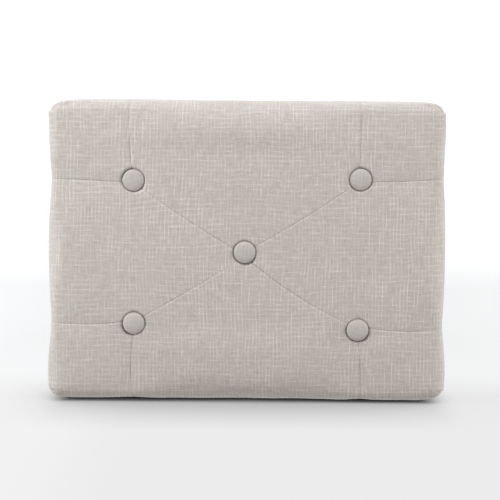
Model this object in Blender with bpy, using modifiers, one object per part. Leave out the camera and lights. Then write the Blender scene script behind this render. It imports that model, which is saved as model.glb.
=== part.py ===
"""Tufted vanity stool: a button-tufted, cloth-covered seat on four tapered legs.

The seat is an upholstered box. Four rails and four corner blocks make its frame, and a plywood deck
closes the top. Five covered buttons draw the foam pad down: a loop of twine runs from the eye of each
button through the cloth, the foam and the deck to an anchor below. One sheet of cloth covers the pad
and the sides and turns under the frame, where a dust cover hides its edge. Each leg hangs on a hanger
bolt in a tee nut on its corner block.

Metres, +Z up. The origin is on the floor under the middle of the seat, and +Y points to the rear.
"""

import math

import bmesh
import bpy
from mathutils import Matrix, Vector
from mathutils.geometry import intersect_point_line

STOOL = "tufted_vanity_stool"
CUTTERS = "cutters"

# Clearance between pieces that touch, how far a cutter reaches past the face it opens, and how close
# two points of one piece are when they count as one
GAP = 0.0003
CUTTER_REACH = 0.001
MERGE_DISTANCE = 0.00001

# Seat, measured outside the cover
SEAT_WIDTH = 0.440
SEAT_DEPTH = 0.330
SEAT_CORNER_RADIUS = 0.020
ROLL_RADIUS = 0.014
CROWN_RISE = 0.005

# Tufting: spacing of the corner tufts, and the stitcher's small drift at each one
TUFT_SPAN_X = 0.250
TUFT_SPAN_Y = 0.160
TUFT_DRIFT = {
    "rear_left": (-0.0006, -0.0018),
    "rear_right": (0.0008, 0.0001),
    "centre": (-0.0021, -0.0010),
    "front_left": (0.0001, -0.0005),
    "front_right": (-0.0013, -0.0070),
}
TUFT_DEPTH = 0.014
TUFT_RIM_RADIUS = 0.017
TUFT_RIM_DROP = 0.0045
TUFT_REACH = 0.050
FOLD_DEPTH = 0.003
FOLD_REACH = 0.022
EDGE_DRAW = 0.0012

# Cloth and padding
COVER_THICKNESS = 0.0012
HEM_UNDER_RAIL = 0.010
FOAM_THICKNESS = 0.043
WADDING_THICKNESS = 0.005
DUST_COVER_THICKNESS = 0.0008
DUST_COVER_INSET = 0.010

# Seat frame
RAIL_HEIGHT = 0.045
RAIL_THICKNESS = 0.015
DECK_THICKNESS = 0.009
BLOCK_WIDTH = 0.052

# Rail screws
SCREW_RADIUS = 0.0020
SCREW_HEAD_RADIUS = 0.0040
SCREW_HEAD_RIM = 0.0004
SCREW_LENGTH = 0.038
SCREW_POINT = 0.005
SCREW_FROM_BOLT = 0.016
SCREW_STAGGER = 0.012

# Legs and their fixings
LEG_LENGTH = 0.350
LEG_TOP_WIDTH = 0.038
LEG_FOOT_WIDTH = 0.025
LEG_SQUARE_LENGTH = 0.050
LEG_EDGE_RADIUS = 0.002
BOLT_RADIUS = 0.0040
BOLT_LAG_RADIUS = 0.0037
BOLT_IN_LEG = 0.033
BOLT_POINT = 0.005
BOLT_CHAMFER = 0.0008
BOLT_PROUD = 0.001
TEE_FLANGE_RADIUS = 0.0095
TEE_FLANGE_THICKNESS = 0.0015
TEE_BARREL_WALL = 0.0011
TEE_BARREL_LENGTH = 0.012
TEE_EDGE = 0.006
TEE_HEADROOM = 0.004
GLIDE_RADIUS = 0.0105
GLIDE_THICKNESS = 0.004
GLIDE_CHAMFER = 0.0012
NAIL_RADIUS = 0.0012
NAIL_LENGTH = 0.014
NAIL_POINT = 0.003

# Buttons, their twine and the anchors
BUTTON_RADIUS = 0.0127
BUTTON_HEIGHT = 0.0055
BUTTON_SKIRT = 0.0022
BUTTON_TUCK = 0.0005
BUTTON_WALL = 0.0010
BACK_THICKNESS = 0.0012
EYE_WIRE_RADIUS = 0.0008
EYE_HALF_WIDTH = 0.0026
TWINE_RADIUS = 0.0008
TWINE_SLACK = 0.0008
ANCHOR_RADIUS = 0.010
ANCHOR_THICKNESS = 0.003

# Facets of round pieces
BUTTON_STEPS = 16
TURNED_STEPS = 14
SCREW_STEPS = 10
BEND_STEPS = 6
CORNER_STEPS = 3
ROLL_STEPS = 2

# Levels, from the floor up
LEG_BOTTOM = GLIDE_THICKNESS + GAP
LEG_TOP = LEG_BOTTOM + LEG_LENGTH
DUST_COVER_BOTTOM = LEG_TOP + GAP
HEM_BOTTOM = DUST_COVER_BOTTOM + DUST_COVER_THICKNESS + GAP
RAIL_BOTTOM = HEM_BOTTOM + COVER_THICKNESS + GAP
DECK_BOTTOM = RAIL_BOTTOM + RAIL_HEIGHT + GAP
DECK_TOP = DECK_BOTTOM + DECK_THICKNESS
FOAM_BOTTOM = DECK_TOP + GAP
CROWN_TOP = FOAM_BOTTOM + FOAM_THICKNESS + GAP + COVER_THICKNESS
EDGE_TOP = CROWN_TOP - CROWN_RISE
ANCHOR_BOTTOM = DECK_BOTTOM - GAP - ANCHOR_THICKNESS
TEE_TOP = DECK_BOTTOM - TEE_HEADROOM
BLOCK_TOP = TEE_TOP - TEE_FLANGE_THICKNESS - GAP
BOLT_TOP = TEE_TOP + BOLT_PROUD

# Distances in plan from the outside of the cover, and what follows from them
WADDING_INSET = COVER_THICKNESS + GAP + EDGE_DRAW
FRAME_INSET = WADDING_INSET + WADDING_THICKNESS + GAP
FRAME_X = SEAT_WIDTH / 2 - FRAME_INSET
FRAME_Y = SEAT_DEPTH / 2 - FRAME_INSET
BLOCK_X = FRAME_X - RAIL_THICKNESS - GAP
BLOCK_Y = FRAME_Y - RAIL_THICKNESS - GAP
BOLT_X = BLOCK_X - TEE_EDGE - TEE_FLANGE_RADIUS
BOLT_Y = BLOCK_Y - TEE_EDGE - TEE_FLANGE_RADIUS
HEM_WIDTH = FRAME_INSET + HEM_UNDER_RAIL

# Fits at a tuft
TWINE_BEND = EYE_WIRE_RADIUS + GAP + TWINE_RADIUS
TWINE_HOLE_RADIUS = TWINE_BEND + TWINE_RADIUS + TWINE_SLACK
EYE_DROP = TWINE_BEND + TWINE_RADIUS + GAP

# The half grid of the seat's top, from the middle out: the lines of the middle tuft and its rim, the
# lines of the corner tuft and its rims, and the lines of the corner arcs and the border
TUFT_LINE = 4
BORDER_LINE = 8

CORNERS = {
    "front_left": (-1, -1),
    "front_right": (1, -1),
    "rear_left": (-1, 1),
    "rear_right": (1, 1),
}
TUFTS = {"centre": (0, 0), **CORNERS}

FINISHES = {
    "linen": ((0.520, 0.478, 0.438), 0.90, 0.0),
    "foam": ((0.780, 0.740, 0.560), 0.95, 0.0),
    "wadding": ((0.850, 0.850, 0.830), 0.95, 0.0),
    "dust_cloth": ((0.012, 0.012, 0.013), 0.92, 0.0),
    "plywood": ((0.480, 0.330, 0.190), 0.70, 0.0),
    "frame_wood": ((0.560, 0.400, 0.230), 0.70, 0.0),
    "leg_wood": ((0.060, 0.030, 0.017), 0.38, 0.0),
    "zinc_steel": ((0.620, 0.620, 0.600), 0.35, 1.0),
    "twine": ((0.700, 0.640, 0.500), 0.80, 0.0),
    "plastic": ((0.050, 0.050, 0.052), 0.45, 0.0),
}


def clear_scene():
    """Removes every object, and makes the two empty collections."""
    for obj in list(bpy.data.objects):
        bpy.data.objects.remove(obj, do_unlink=True)
    for name in (STOOL, CUTTERS):
        bpy.context.scene.collection.children.link(bpy.data.collections.new(name))


def finish(name):
    """The material of this name, made on first use."""
    material = bpy.data.materials.get(name)
    if material is None:
        colour, roughness, metallic = FINISHES[name]
        material = bpy.data.materials.new(name)
        material.use_nodes = True
        material.diffuse_color = (*colour, 1.0)
        shader = material.node_tree.nodes["Principled BSDF"]
        shader.inputs["Base Color"].default_value = (*colour, 1.0)
        shader.inputs["Roughness"].default_value = roughness
        shader.inputs["Metallic"].default_value = metallic
    return material


def add_object(name, data, collection, parent=None, location=(0, 0, 0), rotation=(0, 0, 0)):
    """Links a new object to a collection and places it under its parent."""
    obj = bpy.data.objects.new(name, data)
    bpy.data.collections[collection].objects.link(obj)
    obj.parent = parent
    obj.location = location
    obj.rotation_euler = rotation
    return obj


def add_group(name, parent=None, location=(0, 0, 0)):
    """An empty that carries the pieces of one sub-assembly."""
    return add_object(name, None, STOOL, parent, location)


def add_part(name, data, finish_name, parent, location=(0, 0, 0), rotation=(0, 0, 0)):
    """A finished piece in its own material."""
    data.materials.append(finish(finish_name))
    return add_object(name, data, STOOL, parent, location, rotation)


def add_cutter(name, data, parent, location=(0, 0, 0), rotation=(0, 0, 0)):
    """A shape that is cut out of other pieces."""
    cutter = add_object(name, data, CUTTERS, parent, location, rotation)
    cutter.hide_render = True
    cutter.display_type = "WIRE"
    return cutter


def cut(part, cutter):
    """Cuts the cutter's shape out of the part."""
    boolean = part.modifiers.new(cutter.name, "BOOLEAN")
    boolean.operation = "DIFFERENCE"
    boolean.solver = "EXACT"
    boolean.object = cutter


def join(part, other):
    """Joins the other shape to the part, as one body."""
    boolean = part.modifiers.new(other.name, "BOOLEAN")
    boolean.operation = "UNION"
    boolean.solver = "EXACT"
    boolean.object = other


def to_mesh(bm, name):
    """Turns a finished bmesh into a mesh of this name."""
    mesh = bpy.data.meshes.new(name)
    bm.to_mesh(mesh)
    bm.free()
    return mesh


def box_bmesh(low, high):
    """A box between two opposite corners."""
    low, high = Vector(low), Vector(high)
    bm = bmesh.new()
    bmesh.ops.create_cube(bm, size=1.0, matrix=Matrix.LocRotScale((low + high) / 2, None, high - low))
    return bm


def round_upright_edges(bm, radius, wanted):
    """Rounds the upright edges whose middle the test accepts."""
    edges = []
    for edge in bm.edges:
        start, end = (vert.co for vert in edge.verts)
        if abs(start.z - end.z) > GAP and wanted((start + end) / 2):
            edges.append(edge)
    bmesh.ops.bevel(
        bm, geom=edges, offset=radius, segments=CORNER_STEPS, profile=0.5, affect="EDGES"
    )


def slab_mesh(name, inset, bottom, top):
    """A flat slab that follows the seat's outline at this inset, with its corners rounded."""
    half_x, half_y = SEAT_WIDTH / 2 - inset, SEAT_DEPTH / 2 - inset
    bm = box_bmesh((-half_x, -half_y, bottom), (half_x, half_y, top))
    round_upright_edges(bm, SEAT_CORNER_RADIUS - inset, lambda middle: True)
    return to_mesh(bm, name)


def profile_mesh(name, points, closed=False):
    """A turned piece's profile, as (radius, height) points down its outer side."""
    count = len(points)
    edges = [(i, (i + 1) % count) for i in range(count if closed else count - 1)]
    mesh = bpy.data.meshes.new(name)
    mesh.from_pydata([(radius, 0, height) for radius, height in points], edges, [])
    return mesh


def turn(obj, steps):
    """Turns the object's profile about its own Z axis."""
    screw = obj.modifiers.new("turn", "SCREW")
    screw.steps = screw.render_steps = steps
    screw.use_merge_vertices = True
    screw.merge_threshold = MERGE_DISTANCE
    screw.use_smooth_shade = True
    return obj


def cylinder_mesh(name, radius, bottom, top, steps):
    """A plain upright cylinder."""
    bm = bmesh.new()
    bmesh.ops.create_cone(
        bm,
        cap_ends=True,
        segments=steps,
        radius1=radius,
        radius2=radius,
        depth=top - bottom,
        matrix=Matrix.Translation((0, 0, (bottom + top) / 2)),
    )
    return to_mesh(bm, name)


def wire_curve(name, points, radius, cyclic):
    """A wire along the points, as a curve with a round section."""
    curve = bpy.data.curves.new(name, "CURVE")
    curve.dimensions = "3D"
    curve.bevel_depth = radius
    curve.bevel_resolution = 1
    curve.use_fill_caps = not cyclic
    spline = curve.splines.new("POLY")
    spline.points.add(len(points) - 1)
    for point, place in zip(spline.points, points):
        point.co = (*place, 1.0)
    spline.use_cyclic_u = cyclic
    return curve


def bend(centre, across, down, radius):
    """Points of a half circle, from one side of its centre round its low side to the other."""
    points = []
    for step in range(BEND_STEPS + 1):
        angle = math.pi * step / BEND_STEPS
        points.append(centre - across * radius * math.cos(angle) + down * radius * math.sin(angle))
    return points


def tuft_place(name):
    """The middle of a tuft in plan, with the stitcher's drift."""
    side_x, side_y = TUFTS[name]
    drift_x, drift_y = TUFT_DRIFT[name]
    return Vector((side_x * TUFT_SPAN_X / 2 + drift_x, side_y * TUFT_SPAN_Y / 2 + drift_y))


def drawn_middle(name):
    """The middle of a tuft in plan, where it was marked out before stitching."""
    side_x, side_y = TUFTS[name]
    return Vector((side_x * TUFT_SPAN_X / 2, side_y * TUFT_SPAN_Y / 2))


def half_lines(half_span, rim, arc_start, border):
    """Grid lines from the seat's middle out to its border."""
    lines = [0.0, rim, half_span / 2, half_span - rim, half_span, half_span + rim]
    return lines + [(half_span + rim + arc_start) / 2, arc_start, border]


def grid_lines():
    """The grid's lines across X and across Y, in proportion so that the diagonal folds meet its points."""
    rim_y = TUFT_RIM_RADIUS * TUFT_SPAN_Y / TUFT_SPAN_X
    half_x = half_lines(
        TUFT_SPAN_X / 2,
        TUFT_RIM_RADIUS,
        SEAT_WIDTH / 2 - SEAT_CORNER_RADIUS,
        SEAT_WIDTH / 2 - ROLL_RADIUS,
    )
    half_y = half_lines(
        TUFT_SPAN_Y / 2, rim_y, SEAT_DEPTH / 2 - SEAT_CORNER_RADIUS, SEAT_DEPTH / 2 - ROLL_RADIUS
    )
    return [[-line for line in reversed(half[1:])] + half for half in (half_x, half_y)]


def crown(place):
    """How far the stuffed top stands above its border."""
    across = abs(place.x) / (SEAT_WIDTH / 2 - ROLL_RADIUS)
    along = abs(place.y) / (SEAT_DEPTH / 2 - ROLL_RADIUS)
    return CROWN_RISE * (1 - min(1, across) ** 3) * (1 - min(1, along) ** 3)


def fold_lines():
    """The folds, as pairs of ends: each corner tuft to the middle one and to its two nearest edges."""
    border_x, border_y = SEAT_WIDTH / 2, SEAT_DEPTH / 2
    folds = []
    for name, (side_x, side_y) in CORNERS.items():
        tuft = drawn_middle(name)
        folds.append((tuft, drawn_middle("centre")))
        folds.append((tuft, Vector((side_x * border_x, tuft.y))))
        folds.append((tuft, Vector((tuft.x, side_y * border_y))))
    return folds


def fold_pull(place):
    """1 on a fold, falling to 0 at the fold's reach."""
    nearest = FOLD_REACH
    for start, end in fold_lines():
        _, share = intersect_point_line(place, start, end)
        on_fold = start.lerp(end, min(1, max(0, share)))
        nearest = min(nearest, (place - on_fold).length)
    return 1 - nearest / FOLD_REACH


def tuft_drop(distance):
    """How far a tuft draws the cover down at this distance from its middle."""
    if distance < TUFT_RIM_RADIUS:
        return TUFT_DEPTH + (TUFT_RIM_DROP - TUFT_DEPTH) * distance / TUFT_RIM_RADIUS
    return TUFT_RIM_DROP * tuft_nearness(distance)


def tuft_nearness(distance):
    """1 inside a tuft's rim, falling to 0 at the tuft's reach."""
    return min(1, max(0, (TUFT_REACH - distance) / (TUFT_REACH - TUFT_RIM_RADIUS)))


def seat_height(place):
    """The level of the cover's top at a marked-out place, with its crown, folds and tufts."""
    rise = crown(place)
    drop = FOLD_DEPTH * fold_pull(place)
    for name in TUFTS:
        distance = (place - drawn_middle(name)).length
        rise += (crown(drawn_middle(name)) - rise) * tuft_nearness(distance)
        drop = max(drop, tuft_drop(distance))
    return EDGE_TOP + rise - drop


def round_corner(place):
    """Moves a corner point of the border onto the corner's arc."""
    skeleton, outward = edge_frame(place)
    across, along = abs(place.x) - abs(skeleton.x), abs(place.y) - abs(skeleton.y)
    return skeleton + outward * max(across, along)


def edge_frame(place):
    """The point inside the border that an edge point turns about, and the way out from it."""
    arc_x, arc_y = SEAT_WIDTH / 2 - SEAT_CORNER_RADIUS, SEAT_DEPTH / 2 - SEAT_CORNER_RADIUS
    skeleton = Vector((min(arc_x, max(-arc_x, place.x)), min(arc_y, max(-arc_y, place.y))))
    outward = place.xy - skeleton
    return skeleton, outward.normalized()


def round_tuft_rims(place):
    """Moves the grid points next to a tuft onto the circle of the tuft's rim."""
    rim_y = TUFT_RIM_RADIUS * TUFT_SPAN_Y / TUFT_SPAN_X
    for name in TUFTS:
        away = place - drawn_middle(name)
        ring = max(abs(away.x) / TUFT_RIM_RADIUS, abs(away.y) / rim_y)
        if away.length > GAP and ring < 1 + GAP:
            return drawn_middle(name) + away.normalized() * TUFT_RIM_RADIUS
    return place


def drift(place):
    """How far a marked-out place moves with the tufts near it as they are stitched."""
    reach_x = min(TUFT_SPAN_X / 2 - TUFT_RIM_RADIUS, SEAT_WIDTH / 2 - ROLL_RADIUS - TUFT_SPAN_X / 2)
    reach_y = min(TUFT_SPAN_Y / 2 - TUFT_RIM_RADIUS, SEAT_DEPTH / 2 - ROLL_RADIUS - TUFT_SPAN_Y / 2)
    moved = Vector((0, 0))
    for name in TUFTS:
        away = place - drawn_middle(name)
        share_x = (reach_x - abs(away.x)) / (reach_x - TUFT_RIM_RADIUS)
        share_y = (reach_y - abs(away.y)) / (reach_y - TUFT_RIM_RADIUS)
        share = min(1, max(0, share_x)) * min(1, max(0, share_y))
        moved += Vector(TUFT_DRIFT[name]) * share
    return moved


def lay_top(bm):
    """Shapes a flat grid into the tufted top, and returns its points by line numbers."""
    lines_x, lines_y = grid_lines()
    count = len(lines_x) - 1
    bmesh.ops.create_grid(bm, x_segments=count, y_segments=count, size=count / 2)
    points = {}
    for vert in bm.verts:
        column, row = round(vert.co.x + count / 2), round(vert.co.y + count / 2)
        points[column, row] = vert
        place = round_tuft_rims(Vector((lines_x[column], lines_y[row])))
        if {column, row} <= {0, count}:
            place = round_corner(place)
        level = seat_height(place)
        vert.co = (*(place + drift(place)), level)
    return points


def crease_folds(bm, points):
    """Splits the quads round each tuft and along the diagonal folds, so that an edge runs in each fold."""
    for side_x, side_y in CORNERS.values():
        for line in range(TUFT_LINE):
            start = BORDER_LINE + side_x * line, BORDER_LINE + side_y * line
            crease(bm, points, start, (side_x, side_y))
        corner = BORDER_LINE + side_x * TUFT_LINE, BORDER_LINE + side_y * TUFT_LINE
        for way in CORNERS.values():
            if way != (-side_x, -side_y):
                crease(bm, points, corner, way)


def crease(bm, points, start, way):
    """Splits one quad from a grid point to the point diagonally across from it."""
    end = start[0] + way[0], start[1] + way[1]
    bmesh.ops.connect_verts(bm, verts=[points[start], points[end]])


def edge_rows():
    """The rows below the border: how far each reaches out, how deep it lies and how far folds draw it in.

    A depth of None is the level of the hem.
    """
    rows = []
    for step in range(1, ROLL_STEPS + 1):
        angle = math.pi / 2 * step / ROLL_STEPS
        reach = SEAT_CORNER_RADIUS - ROLL_RADIUS + ROLL_RADIUS * math.sin(angle)
        rows.append((reach, ROLL_RADIUS * (1 - math.cos(angle)), EDGE_DRAW))
    rows.append((SEAT_CORNER_RADIUS, None, 0.0))
    rows.append((SEAT_CORNER_RADIUS - HEM_WIDTH, None, 0.0))
    return rows


def extrude_edge(bm, reach, depth, draw):
    """Adds one row of cloth below the open edge of the sheet."""
    border_reach = SEAT_CORNER_RADIUS - ROLL_RADIUS
    open_edges = [edge for edge in bm.edges if edge.is_boundary]
    added = bmesh.ops.extrude_edge_only(bm, edges=open_edges)["geom"]
    for vert in added:
        if not isinstance(vert, bmesh.types.BMVert):
            continue
        skeleton, outward = edge_frame(vert.co)
        pull = fold_pull(skeleton + outward * border_reach)
        place = skeleton + outward * (reach - draw * pull)
        level = HEM_BOTTOM if depth is None else EDGE_TOP - FOLD_DEPTH * pull - depth
        vert.co = (*place, level)


def seat_sheet():
    """The outer face of the cover as one open sheet, from its tufted top to the edge of its hem."""
    bm = bmesh.new()
    points = lay_top(bm)
    crease_folds(bm, points)
    for reach, depth, draw in edge_rows():
        extrude_edge(bm, reach, depth, draw)
    bmesh.ops.triangulate(bm, faces=bm.faces[:], quad_method="SHORT_EDGE")
    bmesh.ops.recalc_face_normals(bm, faces=bm.faces[:])
    bm.normal_update()
    return bm


def build_cover(parent, twine_cutters):
    """The cloth cover: the sheet given its thickness, with a hole for the twine at each tuft."""
    cover = add_part("seat_cover", to_mesh(seat_sheet(), "seat_cover"), "linen", parent)
    cover.data.shade_smooth()
    shell = cover.modifiers.new("cloth", "SOLIDIFY")
    shell.thickness = COVER_THICKNESS
    shell.offset = -1.0
    shell.use_even_offset = True
    shell.use_quality_normals = True
    for cutter in twine_cutters:
        cut(cover, cutter)


def build_foam(parent, twine_cutters):
    """The foam pad, which fills the cover down to the deck."""
    bm = seat_sheet()
    depth = COVER_THICKNESS + GAP
    moved = {vert: vert.co - vert.normal * (vert.calc_shell_factor() * depth) for vert in bm.verts}
    for vert, place in moved.items():
        vert.co = place
    whole = bm.verts[:] + bm.edges[:] + bm.faces[:]
    bmesh.ops.bisect_plane(
        bm, geom=whole, plane_co=(0, 0, FOAM_BOTTOM), plane_no=(0, 0, 1), clear_inner=True
    )
    bmesh.ops.holes_fill(bm, edges=[edge for edge in bm.edges if edge.is_boundary], sides=0)
    bmesh.ops.recalc_face_normals(bm, faces=bm.faces[:])
    foam = add_part("foam_pad", to_mesh(bm, "foam_pad"), "foam", parent)
    for cutter in twine_cutters:
        cut(foam, cutter)


def build_wadding(parent):
    """The band of wadding round the frame and the deck."""
    bottom, top = RAIL_BOTTOM, DECK_TOP
    mesh = slab_mesh("side_wadding", WADDING_INSET, bottom, top)
    band = add_part("side_wadding", mesh, "wadding", parent)
    inside = slab_mesh(
        "inside_of_wadding", WADDING_INSET + WADDING_THICKNESS, bottom - CUTTER_REACH, top + CUTTER_REACH
    )
    cut(band, add_cutter("inside_of_wadding", inside, parent))


def build_deck(parent, twine_cutters):
    """The plywood deck on the frame, with a hole for the twine at each tuft."""
    mesh = slab_mesh("deck_board", FRAME_INSET, DECK_BOTTOM, DECK_TOP)
    deck = add_part("deck_board", mesh, "plywood", parent)
    for cutter in twine_cutters:
        cut(deck, cutter)


def build_dust_cover(parent, bolt_cutters):
    """The thin cloth that closes the underside, with a hole for each leg's bolt."""
    top = DUST_COVER_BOTTOM + DUST_COVER_THICKNESS
    mesh = slab_mesh("dust_cover", DUST_COVER_INSET, DUST_COVER_BOTTOM, top)
    dust_cover = add_part("dust_cover", mesh, "dust_cloth", parent)
    for cutter in bolt_cutters.values():
        cut(dust_cover, cutter)


def long_rail_mesh():
    """A rail as long as the frame, with its outer face along +Y and its outer corners rounded."""
    low = (-FRAME_X, FRAME_Y - RAIL_THICKNESS, RAIL_BOTTOM)
    bm = box_bmesh(low, (FRAME_X, FRAME_Y, RAIL_BOTTOM + RAIL_HEIGHT))
    outer = FRAME_Y - RAIL_THICKNESS / 2
    radius = min(SEAT_CORNER_RADIUS - FRAME_INSET, RAIL_THICKNESS - GAP)
    round_upright_edges(bm, radius, lambda middle: middle.y > outer)
    return to_mesh(bm, "long_rail")


def short_rail_mesh():
    """A rail that fits between the long rails, with its outer face along +X."""
    half_length = FRAME_Y - RAIL_THICKNESS - GAP
    low = (FRAME_X - RAIL_THICKNESS, -half_length, RAIL_BOTTOM)
    high = (FRAME_X, half_length, RAIL_BOTTOM + RAIL_HEIGHT)
    return to_mesh(box_bmesh(low, high), "short_rail")


def build_rails(parent):
    """The four rails of the frame, by the side that they are on."""
    half_turn = (0, 0, math.pi)
    return {
        "rear": add_part("long_rail_rear", long_rail_mesh(), "frame_wood", parent),
        "front": add_part("long_rail_front", long_rail_mesh(), "frame_wood", parent, rotation=half_turn),
        "right": add_part("short_rail_right", short_rail_mesh(), "frame_wood", parent),
        "left": add_part("short_rail_left", short_rail_mesh(), "frame_wood", parent, rotation=half_turn),
    }


def build_blocks(parent, bolt_cutters):
    """The corner blocks inside the rails, bored for the leg bolts and their tee nuts."""
    blocks = {}
    for corner, (side_x, side_y) in CORNERS.items():
        inner = side_x * (BLOCK_X - BLOCK_WIDTH), side_y * (BLOCK_Y - BLOCK_WIDTH)
        outer = side_x * BLOCK_X, side_y * BLOCK_Y
        low = min(inner[0], outer[0]), min(inner[1], outer[1]), HEM_BOTTOM
        high = max(inner[0], outer[0]), max(inner[1], outer[1]), BLOCK_TOP
        mesh = to_mesh(box_bmesh(low, high), "corner_block")
        blocks[corner] = add_part(f"corner_block_{corner}", mesh, "frame_wood", parent)
        cut(blocks[corner], bolt_cutters[corner])
    return blocks


def screw_profile(clearance, top):
    """A countersunk screw, pointing down with its head's face at 0, or the hole that clears it."""
    head, shank = SCREW_HEAD_RADIUS + clearance, SCREW_RADIUS + clearance
    neck = -SCREW_HEAD_RIM - (SCREW_HEAD_RADIUS - SCREW_RADIUS) - clearance
    return [
        (0, top),
        (head, top),
        (head, -SCREW_HEAD_RIM - clearance),
        (shank, neck),
        (shank, SCREW_POINT - SCREW_LENGTH),
        (0, -SCREW_LENGTH - clearance),
    ]


def build_screws(parent, rails, blocks):
    """Two screws at each corner, through the rails into the block, one above the other."""
    middle = (RAIL_BOTTOM + BLOCK_TOP) / 2
    for corner, (side_x, side_y) in CORNERS.items():
        long_rail = rails["rear" if side_y > 0 else "front"]
        short_rail = rails["right" if side_x > 0 else "left"]
        along_x = side_x * (BOLT_X - SCREW_FROM_BOLT)
        along_y = side_y * (BOLT_Y - SCREW_FROM_BOLT)
        places = {
            "long": (long_rail, (along_x, side_y * FRAME_Y, middle + SCREW_STAGGER / 2)),
            "short": (short_rail, (side_x * FRAME_X, along_y, middle - SCREW_STAGGER / 2)),
        }
        turns = {"long": (-side_y * math.pi / 2, 0, 0), "short": (0, side_x * math.pi / 2, 0)}
        for side, (rail, place) in places.items():
            name = f"rail_screw_{side}_{corner}"
            mesh = profile_mesh(name, screw_profile(0, 0))
            turn(add_part(name, mesh, "zinc_steel", parent, place, turns[side]), SCREW_STEPS)
            hole = profile_mesh(f"{name}_hole", screw_profile(GAP, CUTTER_REACH))
            cutter = turn(add_cutter(f"{name}_hole", hole, parent, place, turns[side]), SCREW_STEPS)
            cut(rail, cutter)
            cut(blocks[corner], cutter)


def bolt_bore_profile():
    """The bore for a hanger bolt, from its blind end in the leg up to the tee nut's seat on the block."""
    bore = BOLT_RADIUS + GAP
    barrel = bore + TEE_BARREL_WALL + GAP
    barrel_bottom = BLOCK_TOP - TEE_BARREL_LENGTH - GAP
    return [
        (0, BLOCK_TOP + CUTTER_REACH),
        (barrel, BLOCK_TOP + CUTTER_REACH),
        (barrel, barrel_bottom),
        (bore, barrel_bottom),
        (bore, LEG_TOP - BOLT_IN_LEG + BOLT_POINT),
        (0, LEG_TOP - BOLT_IN_LEG - GAP),
    ]


def bolt_profile():
    """A hanger bolt: a wood screw below, and a machine thread of larger diameter above the leg."""
    return [
        (0, BOLT_TOP),
        (BOLT_RADIUS - BOLT_CHAMFER, BOLT_TOP),
        (BOLT_RADIUS, BOLT_TOP - BOLT_CHAMFER),
        (BOLT_RADIUS, LEG_TOP),
        (BOLT_LAG_RADIUS, LEG_TOP),
        (BOLT_LAG_RADIUS, LEG_TOP - BOLT_IN_LEG + BOLT_POINT),
        (0, LEG_TOP - BOLT_IN_LEG),
    ]


def tee_nut_profile():
    """A tee nut: a flange on the block and a threaded barrel in it."""
    bore = BOLT_RADIUS + GAP
    barrel = bore + TEE_BARREL_WALL
    flange_bottom = TEE_TOP - TEE_FLANGE_THICKNESS
    barrel_bottom = flange_bottom - TEE_BARREL_LENGTH
    return [
        (bore, TEE_TOP),
        (TEE_FLANGE_RADIUS, TEE_TOP),
        (TEE_FLANGE_RADIUS, flange_bottom),
        (barrel, flange_bottom),
        (barrel, barrel_bottom),
        (bore, barrel_bottom),
    ]


def nail_profile(clearance, bottom):
    """The nail of a glide, point upwards, or the hole that clears it."""
    tip = GLIDE_THICKNESS + NAIL_LENGTH
    return [
        (0, tip + clearance),
        (NAIL_RADIUS + clearance, tip - NAIL_POINT + clearance),
        (NAIL_RADIUS + clearance, bottom),
    ]


def glide_profile():
    """A nail-on glide with a flat foot."""
    return nail_profile(0, GLIDE_THICKNESS) + [
        (GLIDE_RADIUS, GLIDE_THICKNESS),
        (GLIDE_RADIUS, GLIDE_CHAMFER),
        (GLIDE_RADIUS - GLIDE_CHAMFER, 0),
        (0, 0),
    ]


def leg_mesh():
    """A square leg that runs straight at the top and then tapers to its foot."""
    half = LEG_TOP_WIDTH / 2
    bm = box_bmesh((-half, -half, LEG_BOTTOM), (half, half, LEG_TOP))
    whole = bm.verts[:] + bm.edges[:] + bm.faces[:]
    shoulder = LEG_TOP - LEG_SQUARE_LENGTH
    bmesh.ops.bisect_plane(bm, geom=whole, plane_co=(0, 0, shoulder), plane_no=(0, 0, 1))
    foot = [vert for vert in bm.verts if vert.co.z < LEG_BOTTOM + GAP]
    taper = LEG_FOOT_WIDTH / LEG_TOP_WIDTH
    bmesh.ops.scale(bm, vec=(taper, taper, 1), verts=foot)
    return to_mesh(bm, "leg")


def build_leg_set(parent, corner, bolt_cutter):
    """One leg with its glide, and the bolt and nut that hold it to its corner block."""
    leg = add_part(f"leg_{corner}", leg_mesh(), "leg_wood", parent)
    bevel = leg.modifiers.new("eased edges", "BEVEL")
    bevel.width = LEG_EDGE_RADIUS
    bevel.segments = 2
    cut(leg, bolt_cutter)
    nail_hole = profile_mesh("nail_hole", nail_profile(GAP, GLIDE_THICKNESS) + [(0, GLIDE_THICKNESS)])
    cut(leg, turn(add_cutter(f"nail_hole_{corner}", nail_hole, parent), SCREW_STEPS))
    glide = profile_mesh("foot_glide", glide_profile())
    turn(add_part(f"foot_glide_{corner}", glide, "plastic", parent), TURNED_STEPS)
    bolt = profile_mesh("hanger_bolt", bolt_profile())
    turn(add_part(f"hanger_bolt_{corner}", bolt, "zinc_steel", parent), TURNED_STEPS)
    nut = profile_mesh("tee_nut", tee_nut_profile(), closed=True)
    turn(add_part(f"tee_nut_{corner}", nut, "zinc_steel", parent), TURNED_STEPS)


def button_rim_level(name):
    """The level of a button's rim, where it seats on the sloping cloth of its tuft."""
    diagonal = math.atan2(TUFT_SPAN_Y, TUFT_SPAN_X)
    widest = max(diagonal, math.pi / 2 - diagonal)
    seat_radius = TUFT_RIM_RADIUS * math.cos(widest / 2)
    slope = (TUFT_DEPTH - TUFT_RIM_DROP) / seat_radius
    clear = GAP * math.hypot(1, slope)
    rim = BUTTON_RADIUS - BUTTON_TUCK
    return seat_height(drawn_middle(name)) + slope * rim + clear


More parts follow.
